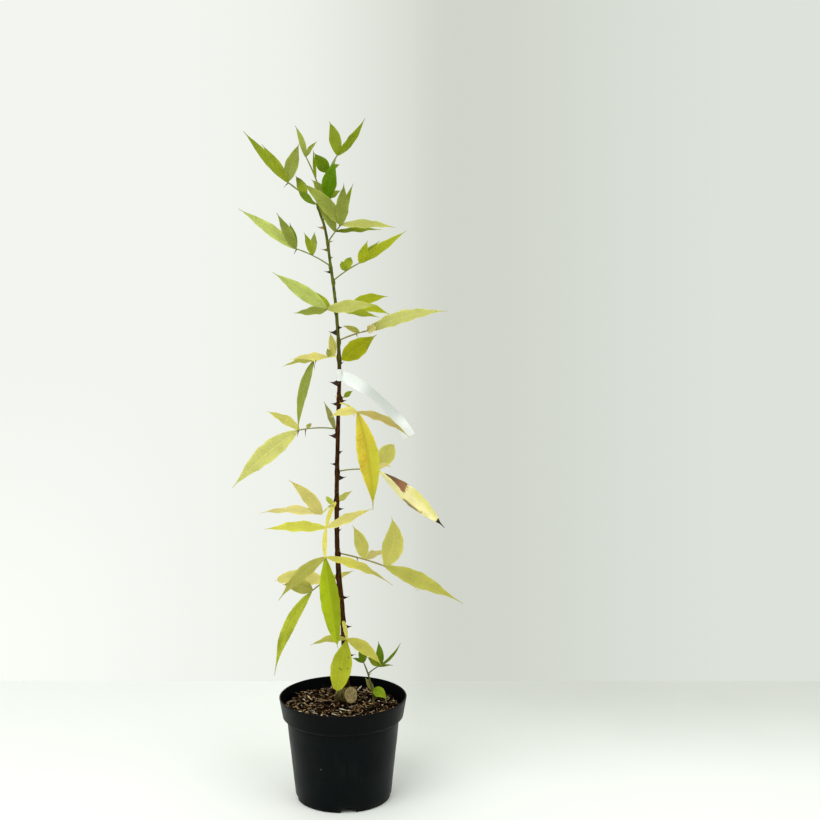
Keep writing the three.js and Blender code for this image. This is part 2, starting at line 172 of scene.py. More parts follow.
# One mesh from many sheets, with faces turned round where the volume that they enclose is negative. Two UV
# maps: "grain" runs along in tenths of a metre and round from 0 to 1, and the bake's map gives each sheet
# a cell of its own. The attribute "chance" is one number for each sheet.
def makeMesh(name, sheets, sharpAngle):
    side, margin = math.ceil(math.sqrt(len(sheets))), 0.03
    slots = sorted({part["material"] for part in sheets})
    points, faces, grain, cells, chance, kinds, start = [], [], [], [], [], [], 0
    random = np.random.default_rng(len(sheets) + len(name))
    for i, part in enumerate(sheets):
        rings, wrap = part["rings"], part["wrap"]
        own = rings.reshape(-1, 3)
        if not wrap:
            own = np.concatenate([own, rings[:1].mean(1), rings[-1:].mean(1)])
        made = ringFaces(*rings.shape[:2], wrap)
        halves = (own - own.mean(0))[np.concatenate([made[0][:, :3], made[0][:, [0, 2, 3]], made[2]])]
        if np.einsum("ij,ij->", halves[:, 0], np.cross(halves[:, 1], halves[:, 2])) < 0:
            made = [rows[:, ::-1] for rows in made]
        quads, quadShares, fans, fanShares = made
        points.append(own)
        faces += (quads + start).tolist() + (fans + start).tolist()
        share = np.concatenate([quadShares.reshape(-1, 2), fanShares.reshape(-1, 2)])
        grain.append(share * [part["length"] / 0.1, 1])
        cells.append((np.array([i % side, i // side]) + margin + (1 - 2 * margin) * share[:, ::-1]) / side)
        chance.append(np.full(len(own), random.random()))
        kinds += [slots.index(part["material"])] * (len(quads) + len(fans))
        start += len(own)
    mesh = bpy.data.meshes.new(name)
    mesh.from_pydata(np.concatenate(points).tolist(), [], faces)
    for title, values in (("grain", grain), ("OFBake", cells)):
        mesh.uv_layers.new(name=title).data.foreach_set("uv", np.concatenate(values).ravel())
    mesh.attributes.new("chance", "FLOAT", "POINT").data.foreach_set("value", np.concatenate(chance))
    for slot in slots:
        mesh.materials.append(finishes[slot])
    mesh.polygons.foreach_set("material_index", kinds)
    mesh.polygons.foreach_set("use_smooth", [True] * len(faces))
    mesh.set_sharp_from_angle(angle=math.radians(sharpAngle))
    mesh.update()
    return mesh


# A new object, put into the scene.
def addObject(name, data):
    made = bpy.data.objects.new(name, data)
    bpy.context.scene.collection.objects.link(made)
    return made


# A finished piece that stands for one node of the solid model.
def makePiece(name, sheets, node, sharpAngle=50):
    piece = addObject(name, makeMesh(name, sheets, sharpAngle))
    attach(piece, "root")
    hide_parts(node)
    return piece


# Materials


# A tone read 0 to 255 on a screen, as the linear colour that a shader takes, times a factor.
def shade(tone, factor=1.0):
    c = np.array(tone) / 255
    linear = np.where(c <= 0.04045, c / 12.92, ((c + 0.055) / 1.055) ** 2.4)
    return (*np.minimum(1.0, linear * factor).tolist(), 1.0)


# Wraps a socket of a material, so that sums on it add Math nodes.
class Wire:
    def __init__(self, tree, socket=None):
        self.tree = tree
        self.socket = socket

    # Adds a node of a type. Its sockets take numbers or wires; the rest are its settings.
    def node(self, kind, sockets=None, out=0, **settings):
        made = self.tree.nodes.new("ShaderNode" + kind)
        for name, value in settings.items():
            setattr(made, name, value)
        for name, value in (sockets or {}).items():
            if isinstance(value, Wire):
                self.tree.links.new(value.socket, made.inputs[name])
            else:
                made.inputs[name].default_value = value
        return Wire(self.tree, made.outputs[out])

    def math(self, operation, *values):
        return self.node("Math", dict(enumerate(values)), operation=operation)

    def __add__(self, other):
        return self.math("ADD", self, other)

    def __sub__(self, other):
        return self.math("SUBTRACT", self, other)

    def __rsub__(self, other):
        return self.math("SUBTRACT", other, self)

    def __mul__(self, other):
        return self.math("MULTIPLY", self, other)

    __radd__ = __add__
    __rmul__ = __mul__

    def size(self):
        return self.math("ABSOLUTE", self)

    def sine(self):
        return self.math("SINE", self)

    # From 0 at low to 1 at high, eased.
    def step(self, low, high):
        return self.node("MapRange", {0: self, 1: low, 2: high}, interpolation_type="SMOOTHSTEP")

    # The other way round: from 1 at low to 0 at high.
    def fade(self, low, high):
        return 1 - self.step(low, high)

    # Fractal noise over a vector, from 0 to 1.
    def noise(self, scale, detail=3.0, rough=0.55):
        return self.node("TexNoise", {"Vector": self, "Scale": scale, "Detail": detail, "Roughness": rough})

    # A blend by this mask of two colours, which are wires, tones or what shade() gives.
    def blend(self, *colours):
        under, over = (shade(part) if isinstance(part, tuple) and len(part) == 3 else part
                       for part in colours)
        return self.node("Mix", {0: self, 6: under, 7: over}, 2, data_type="RGBA")

    def stretched(self, x, y, z):
        return self.node("Mapping", {"Vector": self, "Scale": (x, y, z)})

    # A vector's three components.
    def parts(self):
        return [Wire(self.tree, socket) for socket in self.node("SeparateXYZ", {0: self}).socket.node.outputs]

    # The mesh's own map along and round its sheets, and its number for each sheet.
    def grain(self):
        return self.node("UVMap", uv_map="grain")

    def chance(self):
        return self.node("Attribute", out="Fac", attribute_name="chance")

    # The normal of a surface with this height on it.
    def bump(self, strength, distance):
        return self.node("Bump", {"Strength": strength, "Distance": distance, "Height": self})


# A colour with others laid over it in turn, each by its mask.
def layered(colour, *rows):
    for mask, tone in rows:
        colour = mask.blend(colour, tone)
    return colour


# A new material with constants on its main shader, and a wire that carries the place of a point.
def startFinish(name, **constants):
    made = bpy.data.materials.new(name)
    made.use_nodes = True
    for title, value in constants.items():
        made.node_tree.nodes["Principled BSDF"].inputs[title.replace("_", " ")].default_value = value
    return made, Wire(made.node_tree).node("TexCoord", out="Object")


# Joins up what varies over a material.
def endFinish(made, colour, normal=None, roughness=None):
    main = made.node_tree.nodes["Principled BSDF"]
    for title, wire in (("Base Color", colour), ("Normal", normal), ("Roughness", roughness)):
        if wire:
            made.node_tree.links.new(wire.socket, main.inputs[title])
    return made


leafLook = dict(
    veinSpacing=17, veinSlant=1.1, ribHalf=0.05, roughness=0.5, through=0.3, dryThrough=0.06, dryLength=1.3,
)
leafTones = dict(
    brightYellow=(208, 206, 84), creamYellow=(226, 216, 142), yellow=(200, 195, 86),
    paleYellow=(216, 208, 122), limeGreen=(168, 184, 22), paleLime=(206, 206, 120), softLime=(190, 200, 108),
    darkLime=(162, 166, 14), dullOlive=(164, 164, 90), orangeYellow=(188, 174, 98),
    limeYellow=(182, 190, 36), budBrown=(104, 92, 46), paleGreen=(188, 190, 100), paleOlive=(208, 204, 108),
    olive=(182, 180, 84), greyOlive=(154, 164, 70), leafGreen=(160, 172, 40), midGreen=(138, 153, 28),
    brightGreen=(108, 148, 6), shootGreen=(158, 186, 34), deepGreen=(110, 136, 12), straw=(250, 236, 168),
    freckledYellow=(212, 199, 64), spottedGreen=(178, 184, 42), freshOlive=(192, 200, 62),
)


# Where a dry blade is scorched. t runs from root to tip and q from one edge, -1, to the other, 1.
# A patch grows over the first edge from the root, a thin strip lies along the other, and the tip is burnt.
def scorch(colour, t, q, spot):
    fray = spot.noise(150, 3) * 0.3
    worn = t + spot.noise(260, 4) * 0.12
    patch = (t * 3.4 - 0.85 - q + fray).step(0.04, 0.14) * t.step(0.04, 0.1) * worn.fade(0.41, 0.445)
    strip = q.step(0.7, 0.86) * t.step(0.38, 0.44) * t.fade(0.60, 0.72)
    freckle = q.step(0.35, 0.8) * spot.noise(140, 2).step(0.54, 0.62) * t.step(0.55, 0.66)
    pale = q.step(-0.2, 0.3) * t.fade(0.25, 0.45)
    lively = q.fade(-0.7, 0.1) * t.step(0.38, 0.5)
    return layered(
        colour, (pale * 0.5, (196, 196, 140)), (lively * 0.6, (216, 212, 92)),
        (freckle * 0.55, (206, 150, 70)),
        (patch * 0.92, t.step(0.16, 0.34).blend((84, 38, 26), (146, 84, 58))), (strip * 0.8, (112, 84, 40)),
        ((t + fray * 0.1).step(0.875, 0.89), (50, 34, 24)))


# Leaf skin: the midrib is pale where the share across is near 0, side veins are thin lines of
# sine(along - slant * across), margins are paler, and clouds of noise shift the tone lighter and darker.
# Five tones have more: scorch marks, orange freckles, an olive tip, a darker half, and dark spots.
def leafFinish(name, tone):
    look = leafLook
    made, spot = startFinish(name, Specular_IOR_Level=0.12)
    length, turn, _ = spot.grain().parts()
    q = 1 - (turn * 4 - 2).size()
    off = q.size()
    cloud, fine = spot.noise(38, 4), spot.noise(420, 2)
    rib = off.fade(look["ribHalf"], look["ribHalf"] * 2.4)
    vein = ((length * look["veinSpacing"] - off * look["veinSlant"]) * tau).sine().step(0.7, 1.0)
    vein = vein * off.fade(0.75, 1.0)
    colour = layered(
        (cloud + spot.chance() * 0.25 - 0.1).step(0.3, 0.78).blend(shade(tone, 0.84), shade(tone, 1.12)),
        (off.fade(0.0, 0.7) * 0.4, shade(tone, 0.86)),
        (off.step(0.72, 1.0) * cloud.step(0.3, 0.55) * 0.5, shade(tone, 1.35)),
        (vein * 0.2, shade(tone, 1.35)), (rib * 0.3, shade(tone, 1.45)),
        (turn.step(0.49, 0.51) * 0.25, tuple(0.6 * part + 80 for part in tone)))
    if name == "straw":
        colour = scorch(colour, length * (1 / look["dryLength"]), q, spot)
    if name == "freckledYellow":
        freckle = spot.noise(300, 2).step(0.46, 0.62) * spot.noise(60, 2).step(0.38, 0.58)
        colour = layered(
            colour, (freckle * q.step(-0.5, 0.4) * 0.6, (204, 142, 44)),
            (off.fade(0.0, 0.3) * 0.55, (150, 146, 26)),
            (q.fade(-0.6, 0.3) * length.step(0.2, 0.8) * 0.6, (190, 198, 58)),
            (length.step(0.85, 1.3) * 0.5, (152, 158, 30)))
    if name == "yellow":
        colour = (length.step(0.3, 0.8) * 0.8).blend(colour, (174, 170, 88))
    if name == "limeGreen":
        colour = (q.fade(-0.5, 0.2) * cloud.step(0.1, 0.5) * 0.8).blend(colour, shade(tone, 0.62))
    if name == "spottedGreen":
        colour = (spot.noise(170, 1).step(0.68, 0.74) * 0.85).blend(colour, (92, 86, 24))
    nodes = spot.tree.nodes
    glow = spot.node("BsdfTranslucent", {"Color": shade(tone, 1.2)})
    skin = Wire(spot.tree, nodes["Principled BSDF"].outputs[0])
    through = look["dryThrough"] if name == "straw" else look["through"]
    both = spot.node("MixShader", {0: through, 1: skin, 2: glow})
    spot.tree.links.new(both.socket, nodes["Material Output"].inputs["Surface"])
    return endFinish(made, colour, (vein * 0.6 - rib * 0.8 + fine * 0.25).bump(0.5, 0.0006),
                     fine * 0.2 + look["roughness"] - 0.1)


# Green or yellowing stalk skin with faint long streaks.
def stalkFinish(name, tone):
    made, spot = startFinish(name, Roughness=0.5, Specular_IOR_Level=0.35)
    streak = spot.grain().stretched(3, 14, 1).noise(4, 3)
    colour = layered(streak.step(0.35, 0.65).blend(shade(tone, 0.72), shade(tone, 1.18)),
                     (spot.noise(120).step(0.56, 0.66) * 0.4, (120, 96, 40)))
    return endFinish(made, colour, streak.bump(0.4, 0.0004))


barkLook = dict(
    greenFrom=0.600, greenFull=0.735, brown=(72, 38, 6), dark=(28, 12, 2), green=(50, 56, 10),
    greenLit=(98, 106, 30), fleck=(160, 116, 62), patch=(84, 62, 40),
)
stumpLook = dict(barkLook, greenFrom=0.1, greenFull=0.4, brown=(104, 90, 54), dark=(44, 34, 20))


# Bark: long streaks of noise from dark to mid brown, turning green with height, with small pale flecks.
def barkFinish(name, look):
    made, spot = startFinish(name, Specular_IOR_Level=0.05)
    height = spot.parts()[2]
    streak = spot.stretched(1, 1, 0.16).noise(520, 4)
    coarse = spot.stretched(1, 1, 0.4).noise(140, 3)
    fleck = spot.stretched(1, 1, 0.5).noise(700, 1).step(0.68, 0.74)
    turning = (height + coarse * 0.05).step(look["greenFrom"], look["greenFull"])
    colour = layered(
        turning.blend(streak.step(0.35, 0.68).blend(look["dark"], look["brown"]),
                      streak.step(0.3, 0.7).blend(look["green"], look["greenLit"])),
        (coarse.step(0.55, 0.7) * 0.35, look["patch"]), (fleck * 0.7, look["fleck"]))
    return endFinish(made, colour, (streak + coarse * 0.6 + fleck * 0.5).bump(0.8, 0.0009),
                     streak * 0.25 + 0.5)


# Thorn skin: nearly black brown, reddish towards the base, olive on the young top of the stem.
def thornFinish(name):
    made, spot = startFinish(name, Roughness=0.45, Specular_IOR_Level=0.2)
    height, length = spot.parts()[2], spot.grain().parts()[0]
    cloud = spot.noise(420, 3)
    turning = height.step(0.74, 0.80)
    colour = layered(
        cloud.step(0.3, 0.7).blend((26, 12, 6), (70, 38, 20)),
        (turning, cloud.step(0.3, 0.7).blend((112, 104, 44), (150, 136, 66))),
        ((length * 8).fade(0.2, 0.7) * (1 - turning), (38, 24, 16)))
    return endFinish(made, colour, cloud.bump(0.4, 0.0004))


# Sawn wood: faint rings by the distance from the cut's middle, blurred by noise, with fibres and a rim.
def sawnFinish(centre):
    made, spot = startFinish("sawnWood", Roughness=0.8, Specular_IOR_Level=0.2)
    away = spot.node("VectorMath", {0: spot, 1: tuple(centre)}, "Value", operation="DISTANCE")
    cloud = spot.noise(260, 4)
    rings = ((away * 900 + cloud * 3) * 2).sine()
    fibre = spot.stretched(1, 1, 0.3).noise(900, 3)
    colour = layered(
        cloud.step(0.3, 0.7).blend((138, 116, 66), (190, 178, 128)),
        (rings.step(0.2, 1.0) * 0.15, (146, 124, 78)), (fibre.step(0.5, 0.66) * 0.5, (98, 76, 42)),
        (away.step(0.0108, 0.0120) * 0.5, (112, 96, 52)))
    return endFinish(made, colour, (fibre + rings * 0.1).bump(0.4, 0.0004))


# A mask that is 1 at a place and fades to 0 at an ellipsoid's skin; place and half widths in mm.
def near(spot, place, half):
    away = spot.node("Mapping", {"Vector": spot, "Scale": tuple(1 / (part * mm) for part in half),
                                 "Location": tuple(-p / h for p, h in zip(place, half))})
    return away.node("VectorMath", {0: away}, "Value", operation="LENGTH").fade(0.7, 1.0)


# Moulded black plastic: satin, with dust in clouds, rubbed streaks, faint upright scuffs, a collar painted
# darker as painted shade, a nick painted pale as a painted highlight, and a short upright crease painted
# black as painted shade.
def potFinish(name):
    made, spot = startFinish(name, Specular_IOR_Level=0.07)
    dust = spot.noise(24, 5)
    speck = spot.noise(900, 2).step(0.66, 0.74)
    scuff = spot.stretched(1, 1, 0.12).noise(160, 3).step(0.6, 0.72)
    height = spot.parts()[2]
    # The nick is painted pale: a painted highlight on a small nick.
    nickHighlight, creaseAndShade = near(spot, (-28.3, -67, 65), (0.7, 3, 1.6)), near(spot, (8.5, -72.5, 66.5), (0.8, 5, 19))
    colour = layered(
        # Above 118 mm the collar is painted nearly black: painted shade.
        dust.step(0.4, 0.75).blend((0, 5, 6), (5, 14, 13)), (height.step(0.110, 0.118) * 0.8, (1, 1, 2)),
        (scuff * 0.15, (26, 32, 31)), (speck * 0.25, (60, 62, 56)),
        (height.fade(0.004, 0.012) * dust.step(0.4, 0.6) * 0.12, (70, 66, 56)),
        # The crease is a real dent, painted black in it as painted shade.
        (nickHighlight * 0.8, (150, 152, 146)), (creaseAndShade * 0.9, (0, 0, 0)))
    worn = spot.noise(700, 2) + spot.stretched(1, 1, 0.3).noise(60, 2)
    return endFinish(made, colour, (worn - creaseAndShade).bump(0.25, 0.0006),
                     dust * 0.25 + scuff * 0.12 + creaseAndShade * 0.3 + 0.24)


# Loose matter of one tone: bits of it lighter and darker by piece and by noise.
def chipFinish(name, tone):
    made, spot = startFinish(name, Roughness=0.9, Specular_IOR_Level=0.03)
    fibre = spot.grain().stretched(8, 30, 1).noise(3, 3)
    colour = layered(
        (spot.chance() * 0.8 + fibre * 0.4).step(0.2, 1.0).blend(shade(tone, 0.5), shade(tone, 1.35)),
        (spot.noise(500, 3).step(0.52, 0.66) * 0.45, shade(tone, 0.35)))
    return endFinish(made, colour, fibre.bump(0.7, 0.0006))


# Compost: nearly black lumps and brown grit.
def compostFinish(name):
    made, spot = startFinish(name, Roughness=0.95, Specular_IOR_Level=0.03)
    lump, grit = spot.noise(90, 5, 0.7), spot.noise(520, 4, 0.7)
    colour = layered(lump.step(0.35, 0.7).blend((3, 2, 1), (24, 16, 9)),
                     (grit.step(0.58, 0.7) * 0.4, (92, 72, 48)))
    return endFinish(made, colour, (lump + grit * 0.7).bump(1.0, 0.003))


# Milky plastic: white near its ends, and greyer where more light goes through it, with faint long scuffs.
def labelFinish(name):
    made, spot = startFinish(name, Specular_IOR_Level=0.4)
    length = spot.grain().parts()[0]
    cloud = spot.noise(30, 2)
    scuff = spot.grain().stretched(3, 40, 1).noise(2, 2).step(0.55, 0.75)
    clear = length.step(0.28, 0.5) * length.fade(0.9, 1.1)
    colour = layered(
        (clear * 0.95).blend((218, 222, 217), (184, 189, 183)), (cloud.step(0.3, 0.7) * 0.2, (190, 196, 191)),
        (scuff * 0.3, (168, 174, 171)))
    return endFinish(made, colour, (scuff + cloud).bump(0.1, 0.0004), cloud * 0.2 + 0.25)


stalkTones = dict(
    greenStalk=(118, 120, 50), yellowStalk=(204, 196, 84), oliveStalk=(138, 128, 58),
    shootStalk=(100, 102, 48), spineSkin=(98, 76, 46),
)
chipTones = dict(
    darkChip=(20, 13, 7), brownChip=(82, 56, 34), tanChip=(176, 148, 106), paleChip=(226, 214, 190),
)
finishes = {}
for build, tones in ((leafFinish, leafTones), (stalkFinish, stalkTones), (chipFinish, chipTones),
                     (barkFinish, {"bark": barkLook, "stumpBark": stumpLook})):
    finishes.update({name: build(name, tone) for name, tone in tones.items()})
for build, name in ((thornFinish, "thornSkin"), (potFinish, "potPlastic"), (compostFinish, "compost"),
                    (labelFinish, "labelPlastic")):
    finishes[name] = build(name)
print("finishes made:", len(finishes))

# The stem

# Its middle: height above the ground, then how far right of the pot's middle and how far behind, in mm.
stemCourse = [
    (130, 6, 16), (190, 3, 11), (260, 0, 8), (340, -6, 3), (430, -7, 0), (520, -5, -2), (620, -2, -3),
    (700, -6, -3), (760, -13, -3), (808, -20, -2), (838, -29, -1), (864, -28, 0),
]
trunkForm = dict(
    foot=130, top=864, flareRadius=9, flareHeight=16, footStemRadius=4.3, tipStemRadius=1.5, taperPower=1.15,
    rows=660, columns=28, streak=0.07, streakCells=(150, 9), lump=0.05, lumpCells=(46, 4), swelling=0.9,
    swellingHeight=4, swellingDrop=1.5, swellingBehind=0.35,
)


# A Catmull-Rom curve through the course: on each span, hermite from p1 to p2 with the tangents
# (p2 - p0) / 2 and (p3 - p1) / 2, and with mirrored points beyond its ends.
def stemLine(samples):
    knots = np.array([(right, back, height) for height, right, back in stemCourse]) * mm
    padded = np.vstack([2 * knots[0] - knots[1], knots, 2 * knots[-1] - knots[-2]])
    share = np.linspace(0, len(knots) - 1, samples)
    i = np.minimum(share.astype(int), len(knots) - 2)
    t = (share - i)[:, None]
    p0, p1, p2, p3 = (padded[i + k] for k in range(4))
    m1, m2 = (p2 - p0) / 2, (p3 - p1) / 2
    return ((2 * t ** 3 - 3 * t ** 2 + 1) * p1 + (t ** 3 - 2 * t ** 2 + t) * m1
            + (3 * t ** 2 - 2 * t ** 3) * p2 + (t ** 3 - t ** 2) * m2)


fineStem = stemLine(4000)


# The stem's middle at a height in mm.
def stemAt(height):
    z = height * mm
    return np.array([np.interp(z, fineStem[:, 2], fineStem[:, k]) for k in range(2)] + [z])


# tip + (foot - tip)(1 - share^power) + flare * exp(-height above the foot / flare height), in mm.
def stemRadius(height):
    start, top, foot, tip, power = pick(trunkForm, "foot top footStemRadius tipStemRadius taperPower")
    share = np.clip((height - start) / (top - start), 0, 1)
    flare = np.exp(-(height - start) / trunkForm["flareHeight"])
    return tip + (foot - tip) * (1 - share ** power) + (trunkForm["flareRadius"] - foot) * flare


# What a leaf has where its own row says nothing else.
usualLeaf = dict(skin="greenStalk", slot="green_leaf", spines=[], sway=0.0, swelling=trunkForm["swelling"])


# A leaf by its height on the stem. Its stalk: bearing, rise, length, wing width, bow. Each leaflet: place
# along the stalk, bearing, rise, length, width, rise of its upper face, bow, tone, and what is special
# about its blade, if anything. Each spine: place along the stalk, bearing, rise, length.
def leaf(height, stalk, leaflets, **special):
    return dict(usualLeaf, height=height, stalk=stalk, leaflets=leaflets, **special)


# The leaves up the stem.
leaves = {
    "leaf_low_front": leaf(257, (-80, -20, 45, 6, 0.05), [
        (1, -165, -5, 52, 14, 65, 0.08, "olive"),
        (1, -115, -65, 76, 30, 0, 0.02, "spottedGreen", dict(wave=0.5, widest=1.2, slim=-0.6, drip=0.1)),
        (1, -25, -30, 62, 18, 30, 0.10, "yellow"),
    ], skin="yellowStalk"),
    "leaf_low_left": leaf(322, (155, -32, 52, 3, 0.05), [
        (0.45, 145, -8, 94, 23, 14, 0.07, "paleYellow", dict(widest=0.85, slim=-0.7, drip=0.05)),
        (0.95, -155, 17, 47, 21, 15, 0.06, "olive", dict(slim=-0.2)),
        (1, 156, -65, 146, 18, 15, 0.04, "freshOlive",
         dict(wave=3.0, waveLength=55, side=0.03, slim=0.5)),
        (0.35, 50, 4, 53, 10, 50, 0.0, "paleOlive"),
    ], skin="oliveStalk", slot="yellow_leaf"),
    "leaf_low_right": leaf(356, (12, -18.6, 71, 3, 0.02), [
        (0, -50, 35, 8, 5, 10, 0.1, "midGreen"), (0.55, -165, 72, 53, 20, 0, 0.08, "paleOlive"),
        (0.6, 63, 1, 56, 16, 55, 0.06, "creamYellow"),
        (1, 10, 82, 72, 31, 0, -0.11, "paleOlive", dict(slim=-0.1, wave=0.5)),
        (1, -18, -21, 124, 24, 36, 0.035, "olive", dict(wave=1.8, slim=0.7)),
        (1, 28, -38, 70, 13, 40, 0.05, "paleOlive", dict(twist=25)),
    ], skin="oliveStalk", spines=[(0.4, 20, -75, 8)]),
    "leaf_mid_left": leaf(430, (147, -39, 33, 3, 0.04), [
        (1, 141, 33, 76, 19, 15, 0.04, "paleYellow", dict(widest=0.7)),
        (1, 162, -3, 95, 17, 55, 0.05, "creamYellow", dict(wave=1.9, waveLength=38)),
        (0.3, 109, 11, 32, 9, 40, 0.05, "freshOlive"), (0.15, 62, 10, 51, 11, 40, 0, "paleOlive"),
    ], skin="yellowStalk", slot="yellow_leaf"),
    "leaf_mid_front": leaf(432, (-100, -41, 97, 6.5, 0.08), [
        (0.55, -165, 2, 86, 19, 48, 0.02, "brightYellow"), (0.55, -17, 25, 74, 17, 48, 0, "paleYellow"),
        (1, -166, -41, 86, 18, 30, 0.06, "olive", dict(twist=15, slim=0.5)),
        (1, -12, -20, 100, 16, 48, 0.07, "yellow", dict(wave=1.4, slim=0.9, twist=14)),
        (1, -62, -72, 125, 27, 0, -0.03, "limeGreen",
         dict(wave=1.3, widest=0.98, slim=-0.45, drip=0.3)),
    ], skin="yellowStalk", sway=0.05, slot="yellow_leaf"),
    "leaf_dry_right": leaf(473, (23, -4, 63, 2.5, 0.05), [
        (0.95, 52, 40, 53, 26, 5, 0.02, "paleOlive", dict(widest=1.2, slim=-0.3, drip=0.1)),
        (0.95, 12, 12, 21, 8, 20, 0.3, "creamYellow", dict(wave=1.6, waveLength=8)),
        (1, 15, -42, 130, 25, 25, 0.03, "straw",
         dict(wave=1.4, curl=0.4, widest=1.05, slim=-0.1, drip=0.9)),
    ], slot="dry_leaf", spines=[(0.97, -60, -70, 5)]),
    "leaf_long_left": leaf(533, (-172, -1, 56, 2.5, 0.05), [
        (0.08, -125, 60, 47, 9, 0, 0.02, "dullOlive"), (0.75, 73, 20, 16, 7, 60, 0.15, "olive"),
        (0.95, 141, 18, 66, 16, 50, 0.06, "paleOlive"),
        (1, -155, -37, 120, 28, 20, 0.045, "paleLime", dict(wave=2.0)),
    ], spines=[(0.8, -100, -80, 12), (0.97, -130, -70, 10)]),
    "leaf_front_yellow": leaf(570, (-54, -9, 46, 3, 0.05), [
        (1, -148, -5, 42, 14, 30, 0.10, "paleYellow"),
        (1, -23, -21, 82, 14, 48, 0.08, "orangeYellow", dict(wave=1.4)),
        (1, -45, -77, 135, 30, 0, 0.07, "freckledYellow",
         dict(wave=0.9, widest=0.95, slim=0.2, waveLength=16)),
    ], skin="yellowStalk", slot="yellow_leaf", spines=[(0.9, -120, -60, 9)]),
    "leaf_bud": leaf(577, (-7, 10, 8, 2, 0), [
        (1, -20, 37, 15, 8, 10, 0.04, "midGreen"),
        (0, -60, 76, 15, 6, 10, 0.16, "budBrown", dict(slim=-0.2, wave=0.4)),
        (0, -150, 20, 7, 4, 10, 0.1, "creamYellow", dict(wave=0.4)),
    ], swelling=2.2),
    "leaf_right_broad": leaf(631, (-38, -5, 5, 2, 0), [(1, -33, 33, 69, 27, 10, 0.01, "darkLime")]),
    "leaf_left_hanging": leaf(635, (-178, -11, 36, 3, 0.04), [
        (0.2, 104, 52, 39, 12, 0, 0.04, "paleOlive"), (0.45, 153, -6, 60, 16, 45, 0.03, "paleYellow"),
        (0.35, -107, 50, 17, 9, 20, 0.04, "olive"), (1, -143, -4, 50, 11, 58, 0.06, "olive"),
        (1, -124, -69, 99, 14, 20, 0.10, "greyOlive", dict(wave=1.0)),
    ], skin="yellowStalk", spines=[(1, -60, -72, 13), (0.9, -100, -60, 6)]),
    "leaf_right_long": leaf(656, (16, 17, 42, 3, 0.03), [
        (0.75, -165, 24, 26, 9, 20, 0.06, "olive"),
        (1, -50, 8, 20, 14, 20, 0.12, "creamYellow",
         dict(wave=2.4, waveLength=8, widest=1.2, slim=-0.3)),
        (1, -20, 15, 122, 20, 28, 0.05, "paleLime", dict(wave=1.8)),
        (1, 38, 10, 59, 13, 50, 0.05, "midGreen"),
    ], skin="oliveStalk", spines=[(0.65, -60, -70, 6)]),
    "leaf_upper_front": leaf(697, (-119, 11, 24, 3, 0.03), [
        (1, -157, 34, 93, 20, 10, 0.02, "softLime"), (0.6, 156, 42, 38, 12, 10, 0, "leafGreen"),
        (1, -138, -2, 57, 15, 40, -0.02, "greyOlive"), (1, -26, 6, 77, 19, 25, 0.02, "paleGreen"),
    ]),
    "leaf_upper_back": leaf(701, (56, 3, 35, 3, 0.03), [
        (1, 37, 8, 64, 16, 20, 0.05, "limeYellow"), (1, 8, -14, 56, 14, 30, 0.06, "limeYellow"),
        (0.15, -8, -13, 58, 15, 40, 0, "leafGreen"),
    ]),
    "leaf_small_right": leaf(738, (23, 31, 46, 2.5, 0.03), [
        (0.5, -108, 40, 23, 12, 5, 0.05, "leafGreen", dict(widest=1.1, slim=-0.3, drip=0.1)),
        (0.5, 74, 38, 30, 13, 5, 0.05, "leafGreen", dict(widest=1.1, slim=-0.3, drip=0.1)),
        (1, -67, 47, 44, 13, 5, 0, "limeYellow"), (1, 53, 33, 53, 11, 20, 0.02, "leafGreen"),
        (1, 17, 33, 80, 14, 25, 0.01, "limeYellow"),
    ]),
    "leaf_upper_left": leaf(758, (-174, 27, 53, 2.5, 0.04), [
        (0.55, -104, 42, 48, 10, 5, 0.05, "leafGreen"), (0.55, 88, 41, 46, 11, 5, 0.05, "greyOlive"),
        (1, -123, 50, 65, 14, 10, 0.02, "greyOlive"), (1, 106, 41, 52, 11, 10, 0.03, "deepGreen"),
        (1, -162, 35, 96, 16, 15, 0.02, "softLime"),
    ], spines=[(0.98, -150, -60, 9)]),
    "leaf_crown_front": leaf(790, (-47, 41, 38, 3, 0.03), [
        (0.6, -150, 60, 66, 16, 10, 0.02, "greyOlive"), (0.6, 14, 2, 64, 12, 55, 0.02, "midGreen"),
        (1, -162, 46, 80, 19, 5, 0.05, "greyOlive"), (1, -15, -2, 76, 14, 35, 0.04, "paleGreen"),
        (1, -82, 54, 69, 18, 0, 0.05, "greyOlive"), (0.9, 63, 56, 69, 10, 0, 0.04, "midGreen"),
    ]),
    "leaf_crown_left": leaf(840, (172, 37, 53, 3, 0), [
        (0.4, 118, 39, 44, 14, 5, 0.03, "midGreen"),
        (0.62, -26, -37, 31, 11, 30, 0.0, "deepGreen", dict(widest=0.9, slim=-0.4, drip=0.1)),
        (1, 59, 61, 60, 19, 0, 0.03, "greyOlive"), (1, -131, 47, 69, 13, 10, 0, "leafGreen"),
        (1, 162, 47, 94, 14, 15, 0, "midGreen"),
    ], spines=[(0.97, -160, -45, 10)]),
    "leaf_crown_inner": leaf(846, (-31, 9, 15, 2, 0), [
        (1, -63, 62, 60, 21, 0, 0.05, "brightGreen"), (1, 64, 17, 41, 10, 30, 0.05, "midGreen"),
        (0.5, -172, 62, 32, 15, 5, 0.12, "greyOlive"),
    ]),
    "leaf_crown_right": leaf(855, (25, 62, 60, 2.5, 0.03), [
        (0.55, -142, 49, 35, 18, 0, 0, "deepGreen"), (0.6, 62, 15, 30, 8, 5, 0.05, "midGreen"),
        (1, 119, 62, 52, 17, 0, 0.08, "midGreen"), (1, -33, 47, 67, 12, 20, -0.05, "midGreen"),
    ]),
    "leaf_tip": leaf(864, (165, 66, 46, 2, 0.02), [
        (1, 127, 59, 49, 9, 5, 0.05, "greyOlive"), (1, -43, 42, 30, 7, 10, 0.06, "greyOlive"),
        (0.3, 150, 85, 38, 5, 10, 0, "midGreen"),
    ]),
}

